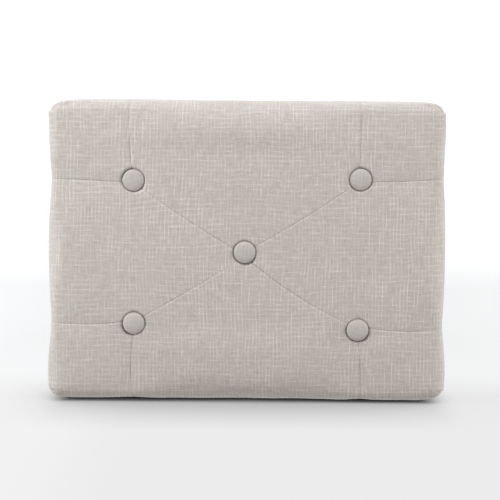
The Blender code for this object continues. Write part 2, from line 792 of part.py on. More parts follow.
def button_cap_profile():
    """The covered dome of a button: rounded skirt, tucked-in rim and hollow inside."""
    dome = BUTTON_HEIGHT - BUTTON_SKIRT
    hollow = BUTTON_RADIUS - BUTTON_TUCK - BUTTON_WALL
    points = []
    for step in range(ROLL_STEPS * 2 + 1):
        angle = math.pi / 2 * step / (ROLL_STEPS * 2)
        points.append((BUTTON_RADIUS * math.sin(angle), BUTTON_SKIRT + dome * math.cos(angle)))
    ceiling = BUTTON_HEIGHT - BUTTON_WALL
    shoulder = BACK_THICKNESS + 2 * GAP
    return points + [
        (BUTTON_RADIUS - BUTTON_TUCK, 0),
        (hollow, 0),
        (hollow, shoulder),
        (hollow / 2, (ceiling + shoulder) / 2),
        (0, (ceiling + shoulder) / 2),
    ]


def back_plate_profile():
    """The plate that closes a button from behind."""
    radius = BUTTON_RADIUS - BUTTON_TUCK - BUTTON_WALL - GAP
    top = GAP + BACK_THICKNESS
    return [(0, top), (radius, top), (radius, GAP), (0, GAP)]


def eye_mesh(parent, level):
    """The wire eye below a button's plate, as a closed mesh."""
    middle = Vector((0, 0, level - EYE_DROP + EYE_HALF_WIDTH))
    foot = Vector((0, 0, level + BACK_THICKNESS / 2))
    side = Vector((EYE_HALF_WIDTH, 0, 0))
    points = bend(middle, Vector((1, 0, 0)), Vector((0, 0, -1)), EYE_HALF_WIDTH)
    wire = wire_curve("eye", [foot - side, *points, foot + side], EYE_WIRE_RADIUS, cyclic=False)
    guide = add_object("eye_guide", wire, CUTTERS, parent)
    bpy.context.view_layer.update()
    graph = bpy.context.evaluated_depsgraph_get()
    mesh = bpy.data.meshes.new_from_object(guide.evaluated_get(graph))
    bpy.data.objects.remove(guide, do_unlink=True)
    bm = bmesh.new()
    bm.from_mesh(mesh)
    bmesh.ops.remove_doubles(bm, verts=bm.verts[:], dist=MERGE_DISTANCE)
    bm.to_mesh(mesh)
    bm.free()
    return mesh


def twine_points(eye_level):
    """A loop of twine, over the wire of the eye and under the bar between the anchor's holes."""
    across, up = Vector((0, 1, 0)), Vector((0, 0, 1))
    top = bend(Vector((0, 0, eye_level)), across, up, TWINE_BEND)
    bottom = bend(Vector((0, 0, ANCHOR_BOTTOM)), -across, -up, TWINE_BEND)
    return top + bottom


def build_anchor(parent, name):
    """The disc under the deck that the twine is tied to, with a hole for each run of the twine."""
    mesh = cylinder_mesh("twine_anchor", ANCHOR_RADIUS, ANCHOR_BOTTOM, DECK_BOTTOM - GAP, TURNED_STEPS)
    anchor = add_part(f"twine_anchor_{name}", mesh, "plastic", parent)
    for side, label in ((-1, "a"), (1, "b")):
        hole = cylinder_mesh(
            "anchor_hole", TWINE_RADIUS + GAP, ANCHOR_BOTTOM - CUTTER_REACH, DECK_BOTTOM, SCREW_STEPS
        )
        place = (0, side * TWINE_BEND, 0)
        cut(anchor, add_cutter(f"anchor_hole_{label}_{name}", hole, parent, place))


def build_tuft(parent, name):
    """One covered button with its back, its twine and its anchor."""
    rim = button_rim_level(name)
    cap_mesh = profile_mesh("button_cap", button_cap_profile())
    cap = add_part(f"button_cap_{name}", cap_mesh, "linen", parent, (0, 0, rim))
    turn(cap, BUTTON_STEPS)
    plate_mesh = profile_mesh("button_back", back_plate_profile())
    back = add_part(f"button_back_{name}", plate_mesh, "zinc_steel", parent, (0, 0, rim))
    turn(back, TURNED_STEPS)
    eye = add_cutter(f"button_eye_{name}", eye_mesh(parent, GAP), parent, (0, 0, rim))
    join(back, eye)
    twine = wire_curve("tuft_twine", twine_points(rim + GAP - EYE_DROP), TWINE_RADIUS, cyclic=True)
    add_part(f"tuft_twine_{name}", twine, "twine", parent)
    build_anchor(parent, name)


def build_stool():
    """Puts the stool together, from the legs up."""
    stool = add_group("stool")
    frame = add_group("seat_frame", stool)
    upholstery = add_group("upholstery", stool)

    bolt_cutters = {}
    for corner, (side_x, side_y) in CORNERS.items():
        leg_set = add_group(f"leg_set_{corner}", stool, (side_x * BOLT_X, side_y * BOLT_Y, 0))
        bore = profile_mesh("bolt_bore", bolt_bore_profile())
        bolt_cutters[corner] = turn(add_cutter(f"bolt_bore_{corner}", bore, leg_set), TURNED_STEPS)
        build_leg_set(leg_set, corner, bolt_cutters[corner])

    twine_cutters = []
    for name in TUFTS:
        tuft = add_group(f"tuft_{name}", upholstery, (*tuft_place(name), 0))
        hole = cylinder_mesh(
            "twine_hole", TWINE_HOLE_RADIUS, DECK_BOTTOM - CUTTER_REACH, button_rim_level(name), TURNED_STEPS
        )
        twine_cutters.append(add_cutter(f"twine_hole_{name}", hole, tuft))
        build_tuft(tuft, name)

    rails = build_rails(frame)
    blocks = build_blocks(frame, bolt_cutters)
    build_screws(frame, rails, blocks)
    build_deck(frame, twine_cutters)
    build_wadding(upholstery)
    build_foam(upholstery, twine_cutters)
    build_cover(upholstery, twine_cutters)
    build_dust_cover(upholstery, bolt_cutters)


clear_scene()
build_stool()
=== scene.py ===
"""Dresses the tufted vanity stool: linen seat, covered buttons, padding, dust cloth, wood and metal.

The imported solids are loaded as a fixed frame. The soft solids are replaced by fuller ones made here, the others
are kept and given their finishes. Lengths are in metres, +Z is up and the seat's rear edge lies along +Y.
"""

import logging
import math
from dataclasses import dataclass
from enum import Enum
from typing import Any, Iterator

import bmesh
import bpy
import numpy as np
from bmesh.types import BMEdge, BMesh, BMFace, BMVert
from bpy.types import Material, Modifier, Node, NodeSocket, NodeTree, Object
from mathutils import Matrix, Vector, noise


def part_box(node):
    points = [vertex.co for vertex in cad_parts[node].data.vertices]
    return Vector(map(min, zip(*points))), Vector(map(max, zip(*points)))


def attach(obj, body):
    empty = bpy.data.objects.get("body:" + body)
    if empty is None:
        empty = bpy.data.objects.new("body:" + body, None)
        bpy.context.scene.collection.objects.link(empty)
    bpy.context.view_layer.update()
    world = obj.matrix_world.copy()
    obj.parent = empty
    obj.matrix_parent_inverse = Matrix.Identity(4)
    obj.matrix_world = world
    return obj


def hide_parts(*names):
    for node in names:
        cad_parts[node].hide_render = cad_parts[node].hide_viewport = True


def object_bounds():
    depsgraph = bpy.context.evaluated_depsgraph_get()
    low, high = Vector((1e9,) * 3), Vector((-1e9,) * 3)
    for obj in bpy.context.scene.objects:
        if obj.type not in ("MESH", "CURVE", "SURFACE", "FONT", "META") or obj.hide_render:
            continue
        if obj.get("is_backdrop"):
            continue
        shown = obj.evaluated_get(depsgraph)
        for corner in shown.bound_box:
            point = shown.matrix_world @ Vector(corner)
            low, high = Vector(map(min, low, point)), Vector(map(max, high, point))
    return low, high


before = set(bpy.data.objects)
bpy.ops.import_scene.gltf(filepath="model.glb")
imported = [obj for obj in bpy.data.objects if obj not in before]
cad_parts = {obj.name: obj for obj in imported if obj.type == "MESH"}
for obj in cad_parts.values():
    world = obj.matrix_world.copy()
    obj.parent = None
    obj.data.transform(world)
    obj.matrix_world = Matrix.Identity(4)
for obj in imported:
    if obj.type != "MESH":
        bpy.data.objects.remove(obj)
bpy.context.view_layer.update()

log = logging.getLogger("stool")

Array = np.ndarray
Colour = tuple[float, float, float, float]

TINY = 1e-9
ON_LINE = 1e-5
WHITE = (1.0, 1.0, 1.0, 1.0)
UP = Vector((0.0, 0.0, 1.0))


class Place(Enum):
    """Where a tuft lies: its word in the solids' names and its side along X and Y."""

    CENTRE = ("centre", 0, 0)
    FRONT_LEFT = ("front_left", -1, -1)
    FRONT_RIGHT = ("front_right", 1, -1)
    REAR_LEFT = ("rear_left", -1, 1)
    REAR_RIGHT = ("rear_right", 1, 1)

    @property
    def word(self) -> str:
        """The place as the solids' names spell it."""
        return self.value[0]

    @property
    def sides(self) -> tuple[int, int]:
        """Its side along X and along Y."""
        return self.value[1], self.value[2]


class Grain(Enum):
    """Which way the grain of a wooden piece runs, as turns about X and Y that bring Z onto it."""

    UPRIGHT = (0.0, 0.0)
    ALONG_X = (0.0, math.pi / 2)
    ALONG_Y = (math.pi / 2, 0.0)


def smooth(values: Array, low: float, high: float) -> Array:
    """Eases values from 0 at low to 1 at high."""
    share = np.clip((values - low) / (high - low), 0.0, 1.0)
    return share * share * (3.0 - 2.0 * share)


def bell(values: Array, width: float) -> Array:
    """A soft bump, 1 at 0 and falling off over the width to both sides."""
    return np.exp(-((values / width) ** 2))


def linear(red: int, green: int, blue: int) -> Colour:
    """Turns an eight-bit screen colour into a linear one.

    Args:
        red, green, blue: the colour as it should appear, 0 to 255.

    Returns:
        The linear colour with alpha 1.
    """
    parts = [value / 255.0 for value in (red, green, blue)]
    lin = [p / 12.92 if p <= 0.04045 else ((p + 0.055) / 1.055) ** 2.4 for p in parts]
    return lin[0], lin[1], lin[2], 1.0


def select_only(piece: Object) -> None:
    """Leaves one piece selected and active.

    Args:
        piece: the piece.
    """
    bpy.ops.object.select_all(action="DESELECT")
    piece.select_set(True)
    bpy.context.view_layer.objects.active = piece


def open_mesh(piece: Object, kind: str) -> None:
    """Opens a piece's mesh for editing, with all of it selected.

    Args:
        piece: the piece.
        kind: what can be picked, VERT or EDGE.
    """
    select_only(piece)
    bpy.ops.object.mode_set(mode="EDIT")
    bpy.ops.mesh.select_mode(type=kind)
    bpy.ops.mesh.select_all(action="SELECT")


def add_piece(name: str, kind: str, **settings: Any) -> Object:
    """Adds a simple mesh as a new piece.

    Args:
        name: the piece's name.
        kind: the mesh as its operator spells it, such as grid or plane.
        settings: what the operator is given.

    Returns:
        The piece, which is left selected and active.
    """
    bpy.ops.object.select_all(action="DESELECT")
    getattr(bpy.ops.mesh, f"primitive_{kind}_add")(**settings)
    piece = bpy.context.object
    piece.name = piece.data.name = name
    return piece


def copy_piece(piece: Object, name: str) -> Object:
    """Makes a new piece with a mesh of its own from an existing one.

    Args:
        piece: the piece to copy.
        name: the copy's name.

    Returns:
        The copy, linked beside the original.
    """
    twin = piece.copy()
    twin.data = piece.data.copy()
    twin.name = twin.data.name = name
    bpy.context.collection.objects.link(twin)
    return twin


def apply_modifier(piece: Object, modifier: Modifier) -> None:
    """Applies one modifier to its piece."""
    select_only(piece)
    bpy.ops.object.modifier_apply(modifier=modifier.name)


def subdivide(piece: Object) -> None:
    """Subdivides a piece once, smoothly.

    Args:
        piece: the piece.
    """
    finer = piece.modifiers.new("finer", "SUBSURF")
    finer.levels = finer.render_levels = 1
    apply_modifier(piece, finer)


def thicken(piece: Object, thickness: float) -> None:
    """Gives a sheet its thickness, behind the side that shows.

    Args:
        piece: the sheet.
        thickness: how thick it becomes.
    """
    thick = piece.modifiers.new("thick", "SOLIDIFY")
    thick.thickness, thick.offset = thickness, -1.0
    apply_modifier(piece, thick)


def soften(piece: Object, degrees: float = 180.0) -> None:
    """Shades a piece smoothly, except across edges sharper than the angle."""
    select_only(piece)
    bpy.ops.object.shade_smooth_by_angle(angle=math.radians(degrees))


def read_rows(items: Any, key: str) -> Array:
    """Reads a property with three parts from all items of a mesh.

    Args:
        items: the mesh's points, normals or faces.
        key: the property's name.

    Returns:
        Rows of x, y, z.
    """
    flat = np.empty(len(items) * 3)
    items.foreach_get(key, flat)
    return flat.reshape(-1, 3)


def read_whole(items: Any, key: str) -> Array:
    """Reads a whole number from all items of a mesh.

    Args:
        items: the mesh's faces or their corners.
        key: the property's name.

    Returns:
        The numbers in order.
    """
    numbers = np.empty(len(items), dtype=np.int32)
    items.foreach_get(key, numbers)
    return numbers


def read_points(piece: Object) -> Array:
    """Reads a piece's corner points as rows of x, y, z."""
    return read_rows(piece.data.vertices, "co")


def read_normals(piece: Object) -> Array:
    """Reads a piece's point normals as rows of x, y, z."""
    return read_rows(piece.data.vertex_normals, "vector")


def write_points(piece: Object, points: Array) -> None:
    """Moves a piece's corner points to new places."""
    piece.data.vertices.foreach_set("co", np.ascontiguousarray(points).ravel())
    piece.data.update()


def gap_to(points: Array, spot: Vector) -> Array:
    """How far points lie from a spot, seen from above."""
    return np.hypot(points[:, 0] - spot.x, points[:, 1] - spot.y)


def round_corners(places: Array, half: Array, radius: float) -> Array:
    """Bends the square corners of a flat sheet's border into arcs.

    Args:
        places: the sheet's points as rows of x and y.
        half: half the sheet's width and half its length.
        radius: the arcs' radius.

    Returns:
        The places with the corners bent.
    """
    inner = half - radius
    spine = np.clip(places, -inner, inner)
    out = places - spine
    square, length = np.max(np.abs(out), axis=1), np.linalg.norm(out, axis=1)
    return spine + out * (square / np.maximum(length, TINY))[:, None]


def centre_of(node: str) -> Vector:
    """The middle of a solid's box."""
    low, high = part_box(node)
    return (Vector(low) + Vector(high)) / 2.0


def put_in_frame(piece: Object, node: str | None, stuff: Material) -> None:
    """Gives a piece its finish and its place in the frame.

    Args:
        piece: the piece.
        node: the solid that it replaces, or None if it replaces none.
        stuff: its material.
    """
    piece.data.materials.append(stuff)
    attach(piece, "root")
    if node is not None:
        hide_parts(node)
    log.info("%s: %d faces", piece.name, len(piece.data.polygons))


class Nodes:
    """Adds joined nodes to one node tree."""

    def __init__(self, tree: NodeTree) -> None:
        """Takes the shader tree that gets the nodes."""
        self.tree = tree

    def add(self, kind: str, settings: dict[str, Any] | None = None, **inputs: Any) -> Node:
        """Adds one node.

        Args:
            kind: the shader node's type, without its leading ShaderNode.
            settings: properties of the node.
            inputs: its input sockets by name, as for dress.

        Returns:
            The new node.
        """
        node = self.tree.nodes.new("ShaderNode" + kind)
        for key, value in (settings or {}).items():
            setattr(node, key, value)
        self.dress(node, **inputs)
        return node

    def dress(self, node: Node, **inputs: Any) -> None:
        """Feeds inputs of a node by name, with underscores for the spaces in the names."""
        for key, value in inputs.items():
            self.feed(node, key.replace("_", " "), value)

    def feed(self, node: Node, key: str | int, value: Any) -> None:
        """Sets or joins one input of a node.

        Args:
            node: the node.
            key: the input's name or number.
            value: what it is set to, or the socket that it is joined to.
        """
        socket = node.inputs[key]
        if isinstance(value, NodeSocket):
            self.tree.links.new(value, socket)
        else:
            socket.default_value = value

    def fill(self, node: Node, *values: Any, first: int = 0) -> NodeSocket:
        """Feeds inputs of a node in their order.

        Args:
            node: the node.
            values: what they are set to or joined to.
            first: the number of the first of them.

        Returns:
            The node's result.
        """
        for index, value in enumerate(values, first):
            self.feed(node, index, value)
        return node.outputs[0]

    def math(self, operation: str, *values: Any) -> NodeSocket:
        """Works out one sum of one to three values."""
        return self.fill(self.add("Math", {"operation": operation}), *values)

    def vector(self, operation: str, *values: Any) -> NodeSocket:
        """Works out one sum of vectors."""
        return self.fill(self.add("VectorMath", {"operation": operation}), *values)

    def spread(self, vector: NodeSocket, *scales: float) -> NodeSocket:
        """Stretches coordinates by a factor for each axis."""
        return self.vector("MULTIPLY", vector, scales)

    def noise(self, vector: NodeSocket, detail: float = 2.0, rough: float = 0.5) -> NodeSocket:
        """Lays soft noise over coordinates, about 0.5 in the middle."""
        return self.add("TexNoise", Vector=vector, Scale=1.0, Detail=detail, Roughness=rough).outputs[0]

    def ease(
        self, value: NodeSocket, low: float, high: float, to_low: float = 0.0, to_high: float = 1.0
    ) -> NodeSocket:
        """Maps a value smoothly from one range to another.

        Args:
            value: the value.
            low: where its range starts.
            high: where its range ends.
            to_low: the result at the start.
            to_high: the result at the end.

        Returns:
            The mapped value.
        """
        node = self.add("MapRange", {"interpolation_type": "SMOOTHSTEP"}, Value=value)
        self.dress(node, From_Min=low, From_Max=high, To_Min=to_low, To_Max=to_high)
        return node.outputs[0]

    def blend(self, share: Any, first: Any, second: Any) -> NodeSocket:
        """Mixes two colours."""
        return self.fill(self.add("MixRGB", {"blend_type": "MIX"}), share, first, second)

    def mix(self, share: Any, first: Any, second: Any) -> NodeSocket:
        """Mixes two values."""
        return self.fill(self.add("Mix", {"data_type": "FLOAT"}, Factor=share), first, second, first=2)

    def bump(self, height: NodeSocket, strength: float, distance: float) -> NodeSocket:
        """Turns a height into a normal."""
        return self.add("Bump", Height=height, Strength=strength, Distance=distance).outputs[0]

    def place(self) -> NodeSocket:
        """The piece's own coordinates."""
        return self.add("TexCoord").outputs["Object"]


def new_group(
    name: str, inputs: dict[str, str], outputs: dict[str, str]
) -> tuple[NodeTree, Nodes, Node, Node]:
    """Starts a shader node group.

    Args:
        name: the group's name.
        inputs: socket names with their types, such as Vector or Float.
        outputs: the same for what it gives.

    Returns:
        The group, its node helper, its input node and its output node.
    """
    tree = bpy.data.node_groups.new(name, "ShaderNodeTree")
    for sockets, side in ((inputs, "INPUT"), (outputs, "OUTPUT")):
        for key, kind in sockets.items():
            tree.interface.new_socket(key, in_out=side, socket_type="NodeSocket" + kind)
    return tree, Nodes(tree), tree.nodes.new("NodeGroupInput"), tree.nodes.new("NodeGroupOutput")


@dataclass(frozen=True)
class SlubWeave:
    """The slubby plain weave shared by the cloths: thicker threads among fine ones, both ways.

    A pitch is the distance between two thick threads, a run the length over which one fades in and out. The threads
    wander by a drift that changes slowly over the cloth.
    """

    drift_scale: float = 14.0
    wander: float = 0.006
    warp_pitch: float = 0.0039
    warp_run: float = 0.030
    weft_pitch: float = 0.0053
    weft_run: float = 0.024
    crossing_height: float = 0.25
    slub_height: float = 2.0

    def group(self) -> NodeTree:
        """Builds the weave.

        Returns:
            A group from cloth coordinates, thread pitch and slub strength to a tone about 1 and a bump height.
        """
        tree, nodes, given, made = new_group(
            "slub_weave", {"Cloth": "Vector", "Pitch": "Float", "Slub": "Float"}, {"Tone": "Float", "Height": "Float"}
        )
        cloth = given.outputs["Cloth"]
        slow = nodes.spread(cloth, self.drift_scale, self.drift_scale, 0.0)
        drift = nodes.add("TexNoise", {"noise_dimensions": "2D"}, Vector=slow, Scale=1.0, Detail=1.0)
        lain = nodes.vector("MULTIPLY_ADD", drift.outputs[1], (self.wander, self.wander, 0.0), cloth)
        split = nodes.add("SeparateXYZ", Vector=lain)
        across, along = split.outputs[0], split.outputs[1]
        warp = self.threads(nodes, across, along, self.warp_pitch, self.warp_run, 0.0)
        weft = self.threads(nodes, along, across, self.weft_pitch, self.weft_run, 5.0)
        bold = nodes.ease(nodes.noise(nodes.spread(lain, 9.0, 7.0, 3.0), 1.0), 0.36, 0.60, 0.60, 1.0)
        fine_warp = nodes.noise(nodes.spread(lain, 950.0, 95.0, 0.0), 0.0)
        fine_weft = nodes.noise(nodes.spread(lain, 95.0, 900.0, 0.0), 0.0)
        nubs = nodes.noise(nodes.spread(lain, 1000.0, 420.0, 0.0), 0.0)
        cloudy = nodes.noise(nodes.spread(lain, 18.0, 18.0, 0.0), 2.0)
        total: Any = 0.0
        for value, middle, share in (
            (nodes.math("MULTIPLY", warp, bold), 0.13, 0.25), (weft, 0.15, 0.15), (fine_warp, 0.5, 0.26),
            (fine_weft, 0.5, 0.24), (nubs, 0.5, 0.22), (cloudy, 0.5, 0.05),
        ):
            total = nodes.math("MULTIPLY_ADD", nodes.math("SUBTRACT", value, middle), share, total)
        over, under = (
            nodes.math("SINE", nodes.math("DIVIDE", nodes.math("MULTIPLY", way, math.pi), given.outputs["Pitch"]))
            for way in (across, along)
        )
        crossings = nodes.math("MULTIPLY_ADD", nodes.math("MULTIPLY", over, under), self.crossing_height, 0.5)
        tree.links.new(nodes.math("MULTIPLY_ADD", total, given.outputs["Slub"], 1.0), made.inputs["Tone"])
        tree.links.new(nodes.math("MULTIPLY_ADD", total, self.slub_height, crossings), made.inputs["Height"])
        return tree

    def threads(
        self, nodes: Nodes, over: NodeSocket, run: NodeSocket, pitch: float, length: float, seed: float
    ) -> NodeSocket:
        """Lays thick threads side by side, each fading in and out along its run.

        Args:
            nodes: the group's node helper.
            over: the coordinate across the threads.
            run: the coordinate along them.
            pitch: the distance between two threads.
            length: the length over which a thread fades.
            seed: tells one set of threads from another.

        Returns:
            1 on a thread where it is thickest, 0 beside it.
        """
        place = nodes.math("DIVIDE", over, pitch)
        number = nodes.math("FLOOR", place)
        middle = nodes.math("ABSOLUTE", nodes.math("SUBTRACT", nodes.math("SUBTRACT", place, number), 0.5))
        line = nodes.ease(middle, 0.02, 0.24, 1.0, 0.0)
        spot = nodes.add(
            "CombineXYZ", X=nodes.math("MULTIPLY", number, 3.71), Y=nodes.math("DIVIDE", run, length), Z=seed
        )
        return nodes.math("MULTIPLY", line, nodes.ease(nodes.noise(spot.outputs[0], 1.0), 0.34, 0.66))


def straight_grain() -> NodeTree:
    """Builds straight-grained wood with the grain along Z.

    Returns:
        A group from coordinates to a grain share, a pore share and a bump height.
    """
    tree, nodes, given, made = new_group(
        "straight_grain", {"Along": "Vector"}, {"Grain": "Float", "Pores": "Float", "Height": "Float"}
    )
    along = given.outputs["Along"]
    bands = nodes.noise(nodes.spread(along, 160.0, 160.0, 4.5), 3.0, 0.55)
    streaks = nodes.noise(nodes.spread(along, 620.0, 620.0, 11.0), 2.0)
    broad = nodes.noise(nodes.spread(along, 30.0, 30.0, 3.0), 1.0)
    pores = nodes.ease(nodes.noise(nodes.spread(along, 1500.0, 1500.0, 60.0), 1.0), 0.60, 0.72)
    grain = nodes.math("MULTIPLY_ADD", bands, 0.5, nodes.math("MULTIPLY", streaks, 0.3))
    grain = nodes.ease(nodes.math("MULTIPLY_ADD", broad, 0.2, grain), 0.36, 0.64)
    height = nodes.math("MULTIPLY_ADD", pores, -0.8, nodes.math("MULTIPLY", grain, 0.4))
    for key, value in (("Grain", grain), ("Pores", pores), ("Height", height)):
        tree.links.new(value, made.inputs[key])
    return tree


@dataclass(frozen=True)
class Finish:
    """What every finish has: the material's name and its colour."""

    name: str
    colour: Colour

    def make(self) -> Material:
        """Builds the material.

        Returns:
            The material with its finish laid on.
        """
        stuff = bpy.data.materials.new(self.name)
        stuff.use_nodes = True
        stuff.diffuse_color = self.colour
        self.lay(Nodes(stuff.node_tree), stuff.node_tree.nodes["Principled BSDF"])
        return stuff

    def lay(self, nodes: Nodes, surface: Node) -> None:
        """Lays the finish's pattern on the material's Principled node."""
        nodes.dress(surface, Base_Color=self.colour)

    def shade(self, red: float, green: float, blue: float, lift: float = 0.0) -> Colour:
        """The colour with a gain for each part, and with all of them lifted."""
        return tuple(min(1.0, p * gain + lift) for p, gain in zip(self.colour, (red, green, blue))) + (1.0,)


@dataclass(frozen=True)
class ClothFinish(Finish):
    """A woven cloth, laid by the piece's own cloth map.

    Its thread pitch, the strength of its slubs and its sheen tell the seat's linen from the plainer cloths.
    """

    weave: NodeTree
    pitch: float = 0.0009
    slub: float = 1.0
    sheen: float = 0.6
    relief: float = 0.35

    def lay(self, nodes: Nodes, surface: Node) -> None:
        """Lays the weave with its warmer and cooler threads.

        Args:
            nodes: the material's node helper.
            surface: its Principled node.
        """
        cloth = nodes.add("UVMap", {"uv_map": "cloth"}).outputs[0]
        woven = nodes.add("Group", {"node_tree": self.weave}, Cloth=cloth, Pitch=self.pitch, Slub=self.slub)
        tint = nodes.noise(nodes.spread(cloth, 260.0, 40.0, 0.0), 1.0)
        warm, cool = self.shade(1.008, 1.0, 0.986), self.shade(0.992, 1.0, 1.014)
        base = nodes.blend(nodes.ease(tint, 0.3, 0.7), warm, cool)
        lift = nodes.math("SUBTRACT", woven.outputs["Tone"], 1.0)
        gain = nodes.vector("MULTIPLY_ADD", lift, (0.90, 1.0, 1.08), (1.0, 1.0, 1.0))
        nodes.dress(
            surface, Base_Color=nodes.vector("MULTIPLY", base, gain),
            Roughness=nodes.math("MULTIPLY_ADD", tint, 0.12, 0.84), Specular_IOR_Level=0.15,
            Sheen_Weight=self.sheen, Sheen_Roughness=0.36, Sheen_Tint=(0.95, 0.985, 1.0, 1.0),
            Normal=nodes.bump(woven.outputs["Height"], self.relief, 0.0005),
        )


@dataclass(frozen=True)
class WoodFinish(Finish):
    """Stained or bare wood, with its darker grain colour and the way the grain runs."""

    wood: NodeTree
    dark: Colour
    grain: Grain = Grain.UPRIGHT
    gloss: float = 0.45
    coat: float = 0.0

    def lay(self, nodes: Nodes, surface: Node) -> None:
        """Lays the grain, its pores and the wear of hands.

        Args:
            nodes: the material's node helper.
            surface: its Principled node.
        """
        place = nodes.place()
        turned = nodes.add("Mapping", Vector=place, Rotation=(*self.grain.value, 0.0)).outputs[0]
        grown = nodes.add("Group", {"node_tree": self.wood}, Along=turned)
        pores = grown.outputs["Pores"]
        tone = nodes.blend(grown.outputs["Grain"], self.dark, self.colour)
        handled = nodes.noise(nodes.spread(place, 24.0, 24.0, 14.0), 3.0)
        rough = nodes.math("MULTIPLY_ADD", handled, 0.22, self.gloss - 0.11)
        nodes.dress(
            surface, Base_Color=nodes.blend(nodes.math("MULTIPLY", pores, 0.5), tone, self.dark),
            Roughness=nodes.math("MULTIPLY_ADD", pores, 0.15, rough), Coat_Weight=self.coat, Coat_Roughness=0.18,
            Normal=nodes.bump(grown.outputs["Height"], 0.25, 0.0003),
        )


@dataclass(frozen=True)
class PlyFinish(Finish):
    """Plywood: a rotary-cut face and crossed layers along its height."""

    wood: NodeTree
    dark: Colour
    layer: float = 0.0018

    def lay(self, nodes: Nodes, surface: Node) -> None:
        """Lays the face's grain and the layers.

        Args:
            nodes: the material's node helper.
            surface: its Principled node.
        """
        place = nodes.place()
        height = nodes.add("SeparateXYZ", Vector=place).outputs[2]
        crossed = nodes.ease(nodes.math("SINE", nodes.math("MULTIPLY", height, math.pi / self.layer)), -0.25, 0.25)
        turned = nodes.add("Mapping", Vector=place, Rotation=(*Grain.ALONG_X.value, 0.0)).outputs[0]
        grown = nodes.add("Group", {"node_tree": self.wood}, Along=turned)
        tone = nodes.blend(grown.outputs["Grain"], self.dark, self.colour)
        nodes.dress(
            surface, Base_Color=nodes.blend(nodes.math("MULTIPLY", crossed, 0.35), tone, self.dark),
            Roughness=nodes.math("MULTIPLY_ADD", grown.outputs["Grain"], 0.15, 0.62),
            Normal=nodes.bump(grown.outputs["Height"], 0.3, 0.0003),
        )


@dataclass(frozen=True)
class MetalFinish(Finish):
    """Zinc-plated steel with its clouded plating and small scuffs."""

    def lay(self, nodes: Nodes, surface: Node) -> None:
        """Lays the plating and the scuffs.

        Args:
            nodes: the material's node helper.
            surface: its Principled node.
        """
        place = nodes.place()
        cloudy = nodes.noise(nodes.spread(place, 190.0, 190.0, 190.0), 3.0)
        scuffs = nodes.ease(nodes.noise(nodes.spread(place, 900.0, 900.0, 240.0), 2.0), 0.62, 0.74)
        dull = self.shade(0.72, 0.72, 0.72)
        rough = nodes.math("MULTIPLY_ADD", cloudy, 0.25, 0.22)
        nodes.dress(
            surface, Base_Color=nodes.blend(nodes.ease(cloudy, 0.35, 0.65), dull, self.colour), Metallic=1.0,
            Roughness=nodes.math("MULTIPLY_ADD", scuffs, 0.2, rough), Normal=nodes.bump(scuffs, 0.1, 0.0001),
        )


@dataclass(frozen=True)
class TwineFinish(Finish):
    """Waxed tufting twine: strands laid round one another along its length."""

    lay_length: float = 0.0016

    def lay(self, nodes: Nodes, surface: Node) -> None:
        """Lays the slanting strands and their fibres, with shade painted dark in the grooves between the strands.

        Args:
            nodes: the material's node helper.
            surface: its Principled node.
        """
        place = nodes.place()
        split = nodes.add("SeparateXYZ", Vector=place)
        slant = nodes.math("ADD", split.outputs[2], nodes.math("MULTIPLY", split.outputs[0], 0.7))
        turns = nodes.math("MULTIPLY", slant, 2 * math.pi / self.lay_length)
        strand = nodes.ease(nodes.math("SINE", turns), -0.8, 0.8)
        fibre = nodes.noise(nodes.spread(place, 1800.0, 1800.0, 500.0), 2.0)
        # dark: painted shade in the grooves between the strands, and also the fibres' own darker tone.
        dark = self.shade(0.55, 0.55, 0.55)
        tone = nodes.blend(strand, dark, self.colour)
        nodes.dress(
            surface, Base_Color=nodes.blend(nodes.math("MULTIPLY", fibre, 0.4), tone, dark),
            Roughness=nodes.math("MULTIPLY_ADD", fibre, 0.3, 0.55), Normal=nodes.bump(strand, 0.5, 0.0003),
        )


@dataclass(frozen=True)
class PlasticFinish(Finish):
    """Moulded plastic with a fine spark-eroded skin."""

    def lay(self, nodes: Nodes, surface: Node) -> None:
        """Lays the skin and its rubbed places.

        Args:
            nodes: the material's node helper.
            surface: its Principled node.
        """
        place = nodes.place()
        skin = nodes.noise(nodes.spread(place, 2600.0, 2600.0, 2600.0), 2.0)
        rubbed = nodes.noise(nodes.spread(place, 160.0, 160.0, 160.0), 3.0)
        worn = self.shade(1.8, 1.8, 1.8, lift=0.004)
        nodes.dress(
            surface, Base_Color=nodes.blend(nodes.ease(rubbed, 0.45, 0.75), self.colour, worn),
            Roughness=nodes.math("MULTIPLY_ADD", rubbed, 0.25, 0.38), Normal=nodes.bump(skin, 0.15, 0.0002),
        )


@dataclass(frozen=True)
class PadFinish(Finish):
    """Foam or wadding: open cells or matted fibres."""

    cell: float = 0.0012
    stretch: float = 1.0

    def lay(self, nodes: Nodes, surface: Node) -> None:
        """Lays the cells, with shade painted darker in their hollows, and the matted places.

        Args:
            nodes: the material's node helper.
            surface: its Principled node.
        """
        place, fine = nodes.place(), 1.0 / self.cell
        spread = nodes.spread(place, fine, fine, fine / self.stretch)
        cells = nodes.add("TexVoronoi", Vector=spread, Scale=1.0).outputs[0]
        matted = nodes.noise(nodes.spread(place, 70.0, 70.0, 70.0), 3.0)
        # Painted shade in the cells' hollows; the same darker colour is also the matted fibres' own tone.
        cell_shade_and_matted_tone = self.shade(0.7, 0.7, 0.7)
        tone = nodes.blend(nodes.ease(cells, 0.15, 0.6), cell_shade_and_matted_tone, self.colour)
        nodes.dress(
            surface, Base_Color=nodes.blend(nodes.math("MULTIPLY", matted, 0.35), tone, cell_shade_and_matted_tone), Sheen_Weight=0.15,
            Roughness=nodes.math("MULTIPLY_ADD", matted, 0.1, 0.88), Normal=nodes.bump(cells, 0.5, 0.0005),
        )


